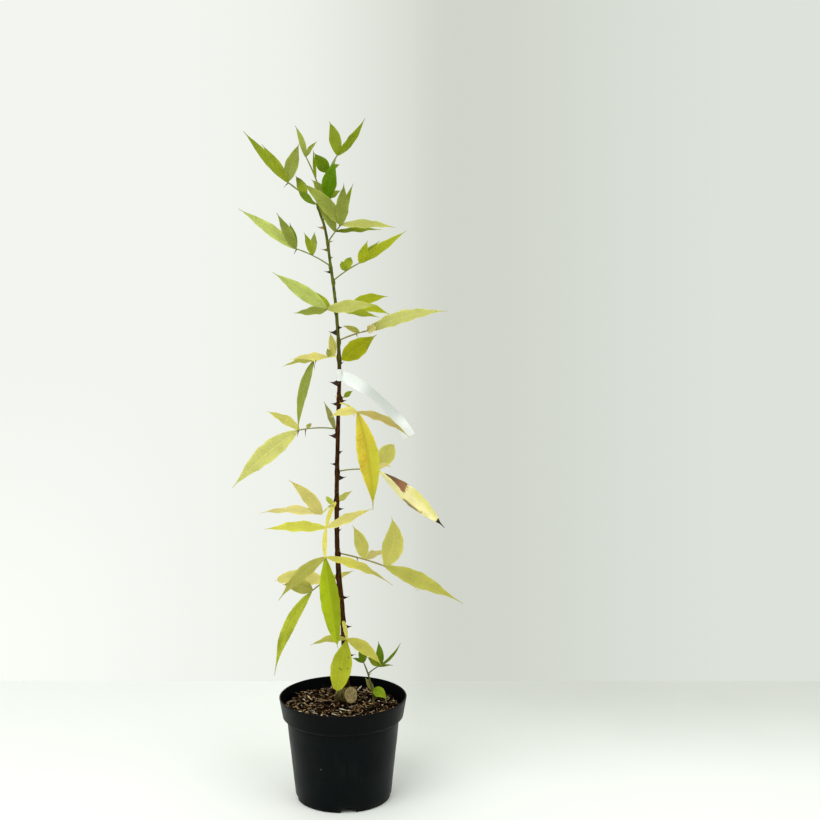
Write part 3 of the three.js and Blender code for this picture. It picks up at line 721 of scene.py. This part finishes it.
# The young shoot beside the stem's foot, from its root in mm, and the side stalk at a place along it.
shoot = dict(usualLeaf, root=(44, 17, 130.2), stalk=(-165, 76, 65, 2.5, 0.04), leaflets=[
    (0.3, -35, -18, 26, 16, 25, 0.16, "shootGreen"), (0.32, 160, 58, 21, 9, 15, 0.06, "dullOlive"),
    (1, 178, 22, 17, 6, 30, 0.06, "deepGreen"), (1, 130, 76, 26, 13, 0, 0.04, "deepGreen"),
], spines=[(0.5, 120, 10, 6), (0.68, 20, 25, 6), (0.62, -120, 50, 6)])
shootSide = dict(usualLeaf, at=0.71, stalk=(5, 34, 21, 2, 0.05), leaflets=[
    (0.95, 165, 33, 22, 11, 20, 0.05, "midGreen"), (0.9, 15, 0, 21, 4.5, 40, 0.04, "midGreen"),
    (1, 105, 74, 35, 12, 0, 0.05, "deepGreen"), (1, 8, 48, 44, 5, 30, -0.08, "deepGreen"),
])


# The bark: rings round the stem's line, their radius the stem's own with noise in long streaks and
# lumps, and a swelling under each leaf.
def makeBark():
    form = trunkForm
    rows, columns, foot = form["rows"], form["columns"], form["foot"] * mm
    line = stemLine(rows)
    tangent = unit(np.gradient(line, axis=0))
    height, angle = line[:, 2] / mm, around(columns)
    relief = (form["streak"] * ripple(rows, columns, *form["streakCells"], 3)
              + form["lump"] * ripple(rows, columns, *form["lumpCells"], 8))
    radius = stemRadius(height)[:, None] * (1 + relief)
    for row in leaves.values():
        under = height - row["height"] + form["swellingDrop"]
        nearness = np.exp(-(under / form["swellingHeight"]) ** 2)[:, None]
        facing = np.maximum(0, np.cos(angle - math.radians(row["stalk"][0])))
        radius = radius + row["swelling"] * nearness * (form["swellingBehind"] + facing)
    radial = np.stack([np.cos(angle), np.sin(angle), 0 * angle], -1)
    level = radial - radial @ tangent[:, :, None] * tangent[:, None]
    rings = line[:, None] + unit(level) * (radius * mm)[..., None]
    rings[..., 2] = np.maximum(rings[..., 2], foot)
    rings[0, :, 2] = foot
    makePiece("bark", [sheet(rings, "bark", form["top"] * mm - foot)], "trunk", 70)


# The stump: its axis runs from behind the stem's foot to its cut; aside moves it to the right.
stubForm = dict(
    radius=12, bearing=-48, rise=12, behind=8, length=13, height=144.5, aside=-3.6, sideRows=26, faceRows=9,
    columns=48, streak=0.03, streakCells=(12, 14), lump=0.035, lumpCells=(6, 6), bite=0.12, biteCells=(5, 9),
    faceAhead=0.3, faceThickness=0.8,
)


# A short log: rings along its axis with bark relief, a rounded edge, and a cut face of shrinking rings.
def makeStump():
    form = stubForm
    columns, sideRows, faceRows = pick(form, "columns sideRows faceRows")
    radius, middle = form["radius"] * mm, stemAt(trunkForm["foot"])
    middle[0] += form["aside"] * mm
    middle[2] = form["height"] * mm
    way = heading(form["bearing"], form["rise"])
    start, end = middle - way * form["behind"] * mm, middle + way * form["length"] * mm
    share = np.concatenate([np.linspace(0, 0.97, sideRows), [0.99, 1.0], np.ones(faceRows)])
    girth = np.concatenate([np.ones(sideRows), [0.985, 0.95], np.linspace(0.9, 0.03, faceRows)]) * radius
    edge, rows = sideRows + 2, len(share)
    centre = start + (end - start) * share[:, None]
    rough = (ripple(rows, columns, *form["streakCells"], 21) * form["streak"]
             + ripple(rows, columns, *form["lumpCells"], 22) * form["lump"])
    rings = tube(centre, way, upward, girth, girth, columns)
    rings = centre[:, None] + (rings - centre[:, None]) * (1 + rough)[..., None]
    rings[edge:] += way * (ripple(faceRows, columns, *form["biteCells"], 23) * form["bite"] * mm)[..., None]
    rings[..., 2] = np.maximum(rings[..., 2], trunkForm["foot"] * mm)
    finishes["sawnWood"] = sawnFinish(end)
    length = (form["behind"] + form["length"]) * mm
    makePiece("stump_side", [sheet(rings[:edge], "stumpBark", length)], "trunk")
    face = rings[edge - 1:] + way * form["faceAhead"] * mm
    back = face[::-1] - way * form["faceThickness"] * mm
    makePiece("stump_face", [sheet(np.concatenate([back, face]), "sawnWood", 2 * radius)], "trunk")


# Thorns: height, bearing, length in mm, close to the solid model's.
thorns = [
    (178, 70, 9), (196, 160, 8), (206, -15, 13), (232, 130, 9), (248, -10, 10), (253, 175, 9), (291, 0, 9),
    (310, -160, 8), (338, 85, 10), (352, -60, 8), (388, 60, 9), (398, -125, 9), (420, -5, 8), (424, -165, 10),
    (452, 110, 9), (465, -10, 11), (484, 185, 7), (500, 55, 10), (524, 180, 11), (548, -70, 8), (560, 95, 10),
    (569, -160, 9), (573, 0, 9), (598, 175, 12), (625, 60, 9), (648, 100, 10), (668, 180, 11), (675, -40, 8),
    (712, 80, 10), (728, -95, 9), (751, 185, 9), (770, 60, 8), (781, 178, 9), (792, 25, 8), (811, 170, 10),
    (822, 40, 8),
]
thornForm = dict(
    baseHeight=11, baseWidth=4, tip=0.25, rise=6, sag=0.08, taperPower=1.9, usualLength=9.5, youngFrom=640,
    youngRun=120, youngSlim=0.4, buried=0.55, rows=14, rowPower=0.85, columns=12,
)


# A thorn: flat rings along a curve that sags, their half widths base * (1 - t)^power + tip.
def thornSheet(height, bearing, length):
    form = thornForm
    reach = length + stemRadius(height)
    bury = stemRadius(height) * form["buried"] / reach
    curve = bowed(stemAt(height), bearing, form["rise"], reach * mm, -form["sag"])
    t = np.linspace(0, 1, form["rows"]) ** form["rowPower"] * (1 - bury) + bury
    centre, tangent = along(curve, t)
    left = (1 - t) ** form["taperPower"]
    young = form["youngSlim"] * ease((height - form["youngFrom"]) / form["youngRun"])
    size = length / form["usualLength"] * (1 - young)
    wide, deep = ((form[key] * size * left + form["tip"]) / 2 * mm for key in ("baseWidth", "baseHeight"))
    return sheet(tube(centre, tangent, upward, wide, deep, form["columns"]), "thornSkin", length * mm)


# Stalks and blades

stalkForm = dict(
    root=2.9, ribShare=0.36, taper=0.45, knee=0.5, kneeLength=3, knob=1.5, lift=50, rows=44, columns=16,
    rim=0.16, bare=0.06, trough=0.25,
)


# A stalk with wings: its half width swells between the nodes where leaflets stand, as
# sine(share between nodes)^0.6, and a rib of rib * exp(-(x / rib)^2) runs along its middle. The rib tapers
# with t and is thicker at the knee, where the stalk leaves the stem.
def stalkSheet(curve, wing, nodes, skin, length):
    form = stalkForm
    t = np.linspace(0, 1, form["rows"])
    centre, tangent = along(curve, t)
    marks = np.array(sorted({0.0, 1.0, *nodes}))
    i = np.clip(np.searchsorted(marks, t, side="right") - 1, 0, len(marks) - 2)
    share = (t - marks[i]) / (marks[i + 1] - marks[i])
    swell = np.sin(np.pi * np.clip(share, 0, 1)) ** 0.6 * (t > form["bare"])
    knee = form["knee"] * np.exp(-t * length / mm / form["kneeLength"])
    rib = (form["root"] * form["ribShare"] * (1 - form["taper"] * t) + knee) * mm
    half = rib + (wing / 2 * mm - rib).clip(0) * swell
    angle = around(form["columns"])
    x = half[:, None] * np.cos(angle)
    thick = form["rim"] * mm + rib[:, None] * np.exp(-(x / (rib[:, None] * 0.8)) ** 2)
    z = np.sin(angle) * thick + np.abs(x) * form["trough"]
    return sheet(swept(centre, *squareTo(tangent, heading(front, form["lift"])), x, z), skin, length)


bladeForm = dict(
    rows=60, columns=20, root=1.8, rootFade=0.7, fold=0.22, widest=0.82, slim=0.12, drip=0.5, bodyEnd=0.94,
    dripFrom=0.6, dripRun=0.3, thickness=0.34, rib=0.35, ribHalf=0.7, tooth=0.02, toothLength=3.2,
    scallop=0.02, scallopLength=19, wave=1.3, waveLength=24, curl=0.1, twist=6, side=0.012,
)


# A blade: a closed thin lens swept along its curve. Half width = sine(pi (t / bodyEnd)^widest)^(1 + slim t),
# and past its body a narrow drip tip of drip * (1 - t), with small teeth and bays. The edges lift by
# fold * |x|, curl down by curl * x^2 and wave by sine(along); the whole turns by twist * t round its curve
# and leans by side * 4t(1 - t) in its plane.
def bladeSheet(curve, width, lift, length, tone, special, seed):
    form = {**bladeForm, **special}
    random = np.random.default_rng(seed)
    phase, lean, turn = random.uniform(0, tau), random.uniform(-1, 1), random.uniform(-1, 1)
    t = np.linspace(0, 1, form["rows"])
    down = t[:, None]
    run = down * length / mm
    centre, tangent = along(curve, t)
    across, outward = squareTo(tangent, heading(front, lift))
    side = form["side"] if "side" in special else form["side"] * lean
    centre = centre + across * (side * length * 4 * t * (1 - t))[:, None]
    twist = np.radians(form["twist"] if "twist" in special else form["twist"] * turn) * down
    across, outward = rolled(across, outward, twist)
    body = np.sin(np.pi * np.minimum(1, t / form["bodyEnd"]) ** form["widest"]).clip(0)
    drip = form["drip"] * (1 - t) * ease((t - form["dripFrom"]) / form["dripRun"])
    spread = np.maximum(body ** (1 + form["slim"] * t), drip)
    half = (form["root"] * (1 - form["rootFade"] * t) + (width - form["root"]) * spread)[:, None] / 2 * mm
    q, upper = flatSection(form["columns"])
    s = np.sign(q) * np.abs(q) ** 1.2
    teeth = (run / form["toothLength"] + 0.5 * (q > 0)) % 1
    bays = np.sin(tau * run / form["scallopLength"] * (1 + 0.3 * down) + 3 * phase + 2.2 * (s > 0))
    x = half * s * (1 - form["tooth"] * teeth * np.abs(s) ** 8 + form["scallop"] * bays * s ** 4)
    sway = np.sin(tau * run / form["waveLength"] + phase + 1.3 * (s > 0)) * np.sin(np.pi * down)
    wave = form["wave"] * mm * np.minimum(1, half / (4 * mm)) * s ** 2 * sway
    lens = form["thickness"] / 2 * mm * upper * np.sqrt(np.maximum(0, 1 - s ** 2))
    rib = -form["rib"] * mm * np.exp(-(x / (form["ribHalf"] * mm)) ** 2) * (upper < 0) * (1 - 0.6 * down)
    z = form["fold"] * np.abs(x) - form["curl"] * half * s ** 2 + wave + lens + rib
    return sheet(swept(centre, across, outward, x, z), tone, length)


spineForm = dict(base=2.0, tip=0.12, bow=0.04, taperPower=1.2, rows=8, columns=8)


# A spine on a stalk: a slim cone.
def spineSheet(root, bearing, rise, length):
    form = spineForm
    t = np.linspace(0, 1, form["rows"])
    centre, tangent = along(bowed(root, bearing, rise, length * mm, form["bow"]), t)
    girth = (form["base"] * (1 - t) ** form["taperPower"] + form["tip"]) / 2 * mm
    return sheet(tube(centre, tangent, heading(bearing + 90), girth, girth, form["columns"]), "spineSkin",
                 length * mm)


# The sheets of a spray: its stalk with its spines, and its blades.
def spraySheets(root, spray, skin, seed):
    bearing, rise, length, wing, bow = spray["stalk"]
    curve, longer = (bowed(root, bearing, rise, reach * mm, bow, spray["sway"])
                     for reach in (length, length + stalkForm["knob"]))
    stalks = [stalkSheet(longer, wing, [row[0] for row in spray["leaflets"]], skin, length * mm)]
    for at, way, up, reach in spray["spines"]:
        stalks.append(spineSheet(along(curve, at)[0][0], way, up, reach))
    blades = []
    for i, (at, way, up, reach, width, lift, rowBow, tone, *special) in enumerate(spray["leaflets"]):
        blade = bowed(along(curve, at)[0][0], way, up, reach * mm, rowBow)
        blades.append(bladeSheet(blade, width, lift, reach * mm, tone, dict(*special), seed * 10 + i))
    return stalks, blades, curve


# Each leaf as two pieces: its blades, and its stalk with the spines.
def makeLeaves():
    for seed, (name, row) in enumerate(leaves.items()):
        stalks, blades, _ = spraySheets(stemAt(row["height"]), row, row["skin"], seed + 1)
        makePiece(name + "_blades", blades, name)
        makePiece(name + "_stalk", stalks, name)


# The shoot as two pieces, with the side stalk that forks off its curve.
def makeShoot():
    stalks, blades, curve = spraySheets(np.array(shoot["root"]) * mm, shoot, "shootStalk", 71)
    fork = along(curve, shootSide["at"])[0][0]
    sideStalks, sideBlades, _ = spraySheets(fork, shootSide, "shootStalk", 72)
    makePiece("shoot_blades", blades + sideBlades, "basal_shoot")
    makePiece("shoot_stalks", stalks + sideStalks, "basal_shoot")


# The pot

potForm = dict(
    height=149, rimRadius=90.5, collarRadius=86, collarBottom=121, shoulderRadius=79.5, shoulderBottom=113,
    footRadius=68, footChamfer=3.5, wall=1.8, floor=5, sides=192, channelInner=40, channelOuter=56,
    channelDepth=3, channelSlope=3, holes=8, holeRadius=5, notches=4, notchBearing=-82, notchRadius=11.5,
    notchHeight=8.5, notchLength=30, warp=0.35, warpRows=60, slowCells=(5, 9), fastCells=(9, 31),
    fastShare=0.3, sharpAngle=32, middle=0.2, step=3.2,
)


# The pot's outer radius at a height, in mm: straight from foot to shoulder to collar to rim.
def potRadius(height):
    return np.interp(height, pick(potForm, "footChamfer shoulderBottom collarBottom height"),
                     pick(potForm, "footRadius shoulderRadius collarRadius rimRadius"))


# Extra rows between the points of a profile wherever they stand further apart than a step.
def finer(profile, step):
    points = [profile[0]]
    for a, b in zip(profile[:-1], profile[1:]):
        count = max(1, math.ceil(math.dist(a, b) / step))
        points += [tuple(np.array(a) + (np.array(b) - np.array(a)) * k / count) for k in range(1, count + 1)]
    return np.array(points)


# Rings from a profile of radius and height turned about the upright axis.
def turned(profile, sides):
    angle, radius, height = around(sides), profile[:, :1], profile[:, 1:]
    return np.stack([radius * np.cos(angle), radius * np.sin(angle), height + 0 * angle], -1) * mm


# A bar between two points, for cutting, with two half widths in mm.
def bar(start, end, wide, deep, face):
    rings = tube(start + (end - start) * np.linspace(0, 1, 4)[:, None], unit(end - start), face,
                 np.full(4, wide * mm), np.full(4, deep * mm), 32)
    return sheet(rings, "potPlastic", 0.02)


# The shell: a turned profile, gently warped, with drain holes and arched notches cut out of it. The warp is
# slow waves in the radius, so that reflections wander, more on the collar than at the foot.
def makePot():
    form = potForm
    wall, rim, height, floor, sides, rows = pick(form, "wall rimRadius height floor sides warpRows")
    foot, chamfer, shoulder, low = pick(form, "footRadius footChamfer shoulderRadius shoulderBottom")
    collar, ledge, inner, outer = pick(form, "collarRadius collarBottom channelInner channelOuter")
    depth, slope, middle, toFirst = pick(form, "channelDepth channelSlope middle notchBearing")
    lip, inside = wall / 2, potRadius(floor) - wall
    lipRound = [(rim - lip + lip * math.cos(a), height - lip + lip * math.sin(a))
                for a in np.radians(np.arange(0, 181, 22.5))]
    profile = [(middle, 0), (inner, 0), (inner + slope, depth), (outer - slope, depth), (outer, 0),
               (foot - chamfer, 0), (foot - 1.4, 1.2), (foot - 1.0, chamfer), (foot - 1.0, 7.3),
               (foot + 0.5, 7.7), (shoulder, low), (shoulder + 0.5, ledge - 0.3), (collar - 0.7, ledge),
               (collar, ledge + 0.15), *lipRound, (collar - wall, ledge + 1), (shoulder - wall, low + 1),
               (inside, floor + 2), (inside - wall, floor), (middle, floor)]
    line = finer(profile, form["step"])
    rings = turned(line, sides)
    warp = (ripple(rows, sides, *form["slowCells"], 41) * form["warp"]
            + ripple(rows, sides, *form["fastCells"], 42) * form["warp"] * form["fastShare"])
    level = np.clip(line[:, 1] / height * (rows - 1), 0, rows - 1).astype(int)
    grow = 1 + warp[level] * np.clip(line[:, 1:] / 20, 0, 1) / line[:, :1].clip(20)
    rings[..., :2] *= grow[..., None]
    pot = makePiece("pot_shell", [sheet(rings, "potPlastic", 0.4)], "pot", form["sharpAngle"])
    cutters, radius = [], form["holeRadius"]
    for i in range(form["holes"]):
        way = heading(toFirst + (i + 0.5) * 360 / form["holes"])
        hole = way * (inner + outer) / 2 * mm
        cutters.append(bar(hole - upward * 0.01, hole + upward * 0.012, radius, radius, way))
    for i in range(form["notches"]):
        way = heading(toFirst + i * 360 / form["notches"])
        notch, half = way * foot * mm, way * form["notchLength"] / 2 * mm
        cutters.append(bar(notch - half, notch + half, form["notchRadius"], form["notchHeight"], upward))
    cutter = addObject("cutter", makeMesh("cutter", cutters, 30))
    cut = pot.modifiers.new("holes", "BOOLEAN")
    cut.operation, cut.solver, cut.object = "DIFFERENCE", "EXACT", cutter
    bpy.context.view_layer.update()
    done = bpy.data.meshes.new_from_object(pot.evaluated_get(bpy.context.evaluated_depsgraph_get()))
    pot.modifiers.clear()
    pot.data = done
    bpy.data.objects.remove(cutter)
    done.set_sharp_from_angle(angle=math.radians(form["sharpAngle"]))


# The compost

# Its lumps: the size of a cell in metres, the share and the seed of each kind of noise.
soilForm = dict(
    level=129.7, sides=200, bump=1.68, rise=1.0, lumps=[(0.024, 1, 5), (0.011, 0.6, 6), (0.005, 0.35, 7)],
    fall=3.2, fallFrom=66, fallRun=20, mound=4, moundFrom=10, tilt=3, tiltFrom=15, run=60, gap=1.2, foot=9.0,
    bottom=5.6, middle=0.6, rows=84, step=8,
)


# Height of the compost's top at x and y in metres: hollows and lumps in three sizes of noise, a mound
# that rises towards the back, a tilt up to the left, and a fall at the rim.
def soilTop(x, y):
    form = soilForm
    lumps = sum(share * groundNoise(x, y, cell, seed) for cell, share, seed in form["lumps"])
    fall = form["fall"] * ease((np.hypot(x, y) / mm - form["fallFrom"]) / form["fallRun"])
    mound = form["mound"] * ease((y / mm - form["moundFrom"]) / form["run"])
    tilt = form["tilt"] * ease((-x / mm - form["tiltFrom"]) / form["run"])
    return (form["level"] + form["bump"] * lumps + form["rise"] - fall + mound + tilt) * mm


# The bed of compost: rings of its top from the middle outwards, then down inside the pot's wall and
# under it.
def makeSoil():
    level, bottom, foot, middle, rows, sides = pick(soilForm, "level bottom foot middle rows sides")
    wall, ledge, low, shoulder = pick(potForm, "wall collarBottom shoulderBottom shoulderRadius")
    inside, gap = potRadius(level - 4) - wall - 0.7, wall + soilForm["gap"]
    reach, angle = np.linspace(middle, inside, rows)[:, None] * mm, around(sides)
    x, y = reach * np.cos(angle), reach * np.sin(angle)
    down = finer([(inside, level - 6), (potRadius(ledge) - gap - 0.4, ledge + 2), (shoulder - gap, low),
                  (potRadius(foot) - gap, foot), (potRadius(foot) - gap - 2 * wall, bottom),
                  (middle, bottom)], soilForm["step"])
    rings = np.concatenate([np.stack([x, y, soilTop(x, y)], -1), turned(down, sides)])
    makePiece("soil_bed", [sheet(rings, "compost", 0.3)], "soil", 60)


# Its shares: how many of the chips are dark, brown, tan and pale, added up.
chipForm = dict(
    count=2300, seed=17, spread=82, reach=84, edge=84.5, shortest=3, longest=20, logLength=(1.85, 0.45),
    widths=(0.5, 1.7), thicknesses=(0.5, 1.3), lift=2.6, bend=0.09, slope=17, lean=0.35, rows=5, columns=6,
    tones=["darkChip", "brownChip", "tanChip", "paleChip"], shares=[0.52, 0.77, 0.95],
)


# Chips: short bent slabs with ragged ends, most of them flat on the compost.
def makeChips():
    form = chipForm
    random, count, rows = np.random.default_rng(form["seed"]), form["count"], form["rows"]
    sheets = []
    spread = form["spread"] * np.sqrt(random.random(count))
    bearing = random.random(count) * tau
    lengths = np.clip(random.lognormal(*form["logLength"], count), form["shortest"], form["longest"])
    t = np.linspace(0, 1, rows)
    for i in range(count):
        x, y = spread[i] * np.cos(bearing[i]) * mm, spread[i] * np.sin(bearing[i]) * mm
        length = min(lengths[i], 2.0 * (form["reach"] - spread[i]) + 4)
        width = random.uniform(*form["widths"]) * (0.6 + length / 16)
        thick = random.uniform(*form["thicknesses"])
        way = heading(random.uniform(0, 360), random.normal(0, form["slope"]))
        bend = random.uniform(-form["bend"], form["bend"]) * length
        middle = np.array([x, y, soilTop(x, y) + random.uniform(0, form["lift"]) * mm])
        centre = (middle + way * ((t - 0.5) * length * mm)[:, None]
                  + unit(np.cross(way, upward)) * (bend * 4 * t * (1 - t) * mm)[:, None])
        ends = np.clip(np.minimum(t, 1 - t) * 5 + random.uniform(0.15, 0.6), 0, 1)
        wide = width / 2 * ends * random.uniform(0.75, 1.1, rows) * mm
        deep = thick / 2 * (0.5 + 0.5 * ends) * random.uniform(0.7, 1.1, rows) * mm
        face = unit(np.array([random.normal(0, form["lean"]), random.normal(0, form["lean"]), 1.0]))
        away = np.hypot(centre[:, 0], centre[:, 1])
        centre[:, :2] *= np.minimum(1, (form["edge"] * mm - wide.max()) / away.clip(1e-4))[:, None]
        tone = form["tones"][int(np.searchsorted(form["shares"], random.random()))]
        sheets.append(sheet(tube(centre, way, face, wide, deep, form["columns"]), tone, length * mm))
    makePiece("soil_chips", sheets, "soil", 35)


crumbForm = dict(
    count=1300, seed=29, spread=83, logSize=(-0.1, 0.45), largest=2.6, lift=0.2, tall=1.6, flattest=0.6,
    rows=4, columns=6, pale=0.03, tan=0.15,
)


# Crumbs: small uneven lumps between the chips.
def makeCrumbs():
    form = crumbForm
    random, sheets = np.random.default_rng(form["seed"]), []
    t = np.linspace(0.08, 0.92, form["rows"])
    for i in range(form["count"]):
        away, bearing = form["spread"] * math.sqrt(random.random()) * mm, random.random() * tau
        x, y = away * math.cos(bearing), away * math.sin(bearing)
        size = min(form["largest"], random.lognormal(*form["logSize"])) * mm
        middle = np.array([x, y, soilTop(x, y) + form["lift"] * mm])
        centre = middle + np.outer(t - 0.5, upward) * size * form["tall"]
        girth = np.sin(np.pi * t) ** 0.6 * size * random.uniform(0.7, 1.2, form["rows"])
        flat = girth * random.uniform(form["flattest"], 1)
        rings = tube(centre, upward, np.array([0, 1.0, 0]), girth, flat, form["columns"])
        tone = ("paleChip" if random.random() < form["pale"]
                else "tanChip" if random.random() < form["tan"] else "darkChip")
        sheets.append(sheet(rings, tone, size))
    makePiece("soil_crumbs", sheets, "soil", 60)


# The label

labelForm = dict(
    width=18, thickness=0.5, bearing=-10, rise=-41, length=127, bow=0.09, height=609, loopRadius=3.5,
    loopShare=0.45, loopRows=40, loopColumns=16, loopLength=0.03, start=0.4, lift=15, rows=60, columns=24,
    cup=0.1, twist=42, neck=0.75, neckEnd=7,
)


# A strip: flat rings along its curve, turned by twist * sine(pi t)^1.5 and cupped a little, with a square
# end, and a short band looped round the stem.
def makeLabel():
    form = labelForm
    middle, radius, thin = stemAt(form["height"]), form["loopRadius"] * mm, form["thickness"] / 2 * mm
    start = middle + heading(form["bearing"]) * radius * form["start"]
    curve = bowed(start, form["bearing"], form["rise"], form["length"] * mm, form["bow"])
    t = np.linspace(0, 1, form["rows"])
    centre, tangent = along(curve, t)
    across, outward = squareTo(tangent, heading(front, form["lift"]))
    across, outward = rolled(across, outward, np.radians(form["twist"]) * np.sin(np.pi * t[:, None]) ** 1.5)
    q, upper = flatSection(form["columns"])
    neck = form["neck"] + (1 - form["neck"]) * ease(t * form["neckEnd"])
    x = (form["width"] / 2 * mm * neck)[:, None] * q
    z = upper * thin * np.sqrt(1 - np.minimum(1, np.abs(q)) ** 12) - form["cup"] * np.abs(x) * np.abs(q)
    strip = sheet(swept(centre, across, outward, x, z), "labelPlastic", form["length"] * mm)
    turn, angle = around(form["loopRows"]), around(form["loopColumns"])
    radial = np.stack([np.cos(turn), np.sin(turn), 0 * turn], -1)
    flat = np.abs(np.cos(angle)) ** 0.3 * np.sign(np.cos(angle)) * form["width"] * form["loopShare"] * mm
    loop = ((middle + radial * radius)[:, None] + upward * flat[None, :, None]
            + radial[:, None] * (np.sin(angle) * thin)[None, :, None])
    band = sheet(loop, "labelPlastic", form["loopLength"], True)
    makePiece("label_strip", [strip, band], "label", 40)


makeBark()
makeStump()
makePiece("thorns", [thornSheet(*row) for row in thorns], "trunk")
print("stem made")
makeLeaves()
makeShoot()
print("leaves made")
makePot()
makeSoil()
makeChips()
makeCrumbs()
makeLabel()
print("pot, compost and label made")

# The stage: a pale floor that ends at a back edge, plain air behind it, soft light

stageForm = dict(
    floorBack=0.516, floorFront=-4.0, floorSide=4.0, floorRows=7, floorColumns=9,
    floorLeft=(238, 241, 237), floorRight=(236, 239, 235), floorCornerShadow=(194, 196, 191), air=1.0,
    glow=(252, 255, 248), dim=0.68,
)
# The air's tones from left to right: place along the view's width, then the tone. The dip from 0.5 to 0.575
# is a painted shadow.
airTones = [(0.1, (243, 246, 240)), (0.33, (241, 244, 237)), (0.5, (215, 218, 209)), (0.575, (206, 209, 200)),
            (0.75, (213, 218, 209)), (0.95, (221, 227, 219))]


# The floor: a flat grid up to its back edge, painted a little darker towards the right as painted shade, with
# a painted shadow on the corner behind on the right.
def makeFloor():
    form = stageForm
    rows, columns = form["floorRows"], form["floorColumns"]
    x = np.linspace(-form["floorSide"], form["floorSide"], columns)
    y = np.linspace(form["floorFront"], form["floorBack"], rows)
    grid = np.stack(np.meshgrid(x, y, indexing="xy"), -1).reshape(-1, 2)
    corner = (np.arange(rows - 1)[:, None] * columns + np.arange(columns - 1)).ravel()
    quads = np.stack([corner, corner + 1, corner + columns + 1, corner + columns], -1)
    mesh = bpy.data.meshes.new("floor")
    mesh.from_pydata([(a, b, 0.0) for a, b in grid.tolist()], [], quads.tolist())
    made, spot = startFinish("floorPaint", Roughness=0.6, Specular_IOR_Level=0.3)
    across, depth, _ = spot.parts()
    cloud = spot.noise(3, 3)
    # Left to right the tone falls a little, painted shade; the back right corner is a painted shadow.
    colour = layered(
        across.step(-0.3, 0.14).blend(form["floorLeft"], form["floorRight"]),
        (across.step(-0.1, 0.14) * depth.step(0.0, 0.5) * 0.7, form["floorCornerShadow"]),
        (cloud.step(0.3, 0.7) * 0.1, (250, 252, 248)))
    mesh.materials.append(endFinish(made, colour, roughness=cloud * 0.2 + 0.5))
    floor = addObject("floor", mesh)


# The air: its tones by how far right the view goes, brighter low on the left, and darker to the front.
def makeAir():
    world = bpy.data.worlds.new("air")
    bpy.context.scene.world = world
    world.use_nodes = True
    tree = world.node_tree
    way, deep, high = Wire(tree).node("TexCoord", out="Generated").parts()
    wide = way * 2.5 + 0.5
    tone = wide.node("ValToRGB", {0: wide})
    ramp = tone.socket.node.color_ramp
    ramp.interpolation = "B_SPLINE"
    ramp.elements[0].position, ramp.elements[-1].position = airTones[0][0], airTones[-1][0]
    for place, _ in airTones[1:-1]:
        ramp.elements.new(place)
    for element, (_, stop) in zip(ramp.elements, airTones):
        element.color = shade(stop)
    low = high.fade(-0.29, -0.1) * way.fade(-0.25, -0.1)
    tone = layered(tone, (low * 0.9, stageForm["glow"]), (deep.fade(-0.8, 0.2) * stageForm["dim"], (0, 0, 0)))
    background = tree.nodes["Background"]
    background.inputs["Strength"].default_value = stageForm["air"]
    tree.links.new(tone.socket, background.inputs["Color"])


# Square soft lights: place, side and power. Both look at the same point.
lights = {"key": ((-1.1, -1.7, 2.4), 2.2, 61), "fill": ((1.6, -1.6, 1.8), 2.0, 27)}
lightTarget = (0, 0, 0.4)


# A light turned to the target: tilted by the angle of its way from straight down.
def makeLight(name, place, size, power):
    light = bpy.data.lights.new(name, "AREA")
    light.size, light.energy = size, power
    lamp = addObject(name, light)
    lamp.location = place
    way = np.array(lightTarget) - np.array(place)
    lamp.rotation_euler = (math.atan2(math.hypot(way[0], way[1]), -way[2]), 0, math.atan2(-way[0], way[1]))


# The camera: how wide its lens is, its place, and how many degrees it looks down.
cameraForm = dict(lens=70.24, sensor=36.0, place=(0.0953, -2.190, 0.892), down=8.63)


def makeCamera():
    form = cameraForm
    data = bpy.data.cameras.new("camera")
    data.lens, data.sensor_width = form["lens"], form["sensor"]
    camera = addObject("camera", data)
    camera.location = form["place"]
    camera.rotation_euler = (math.radians(90 - form["down"]), 0, 0)
    bpy.context.scene.camera = camera


makeFloor()
makeAir()
for name, row in lights.items():
    makeLight(name, *row)
makeCamera()
bpy.context.scene.view_settings.view_transform = "Standard"

bpy.context.view_layer.update()
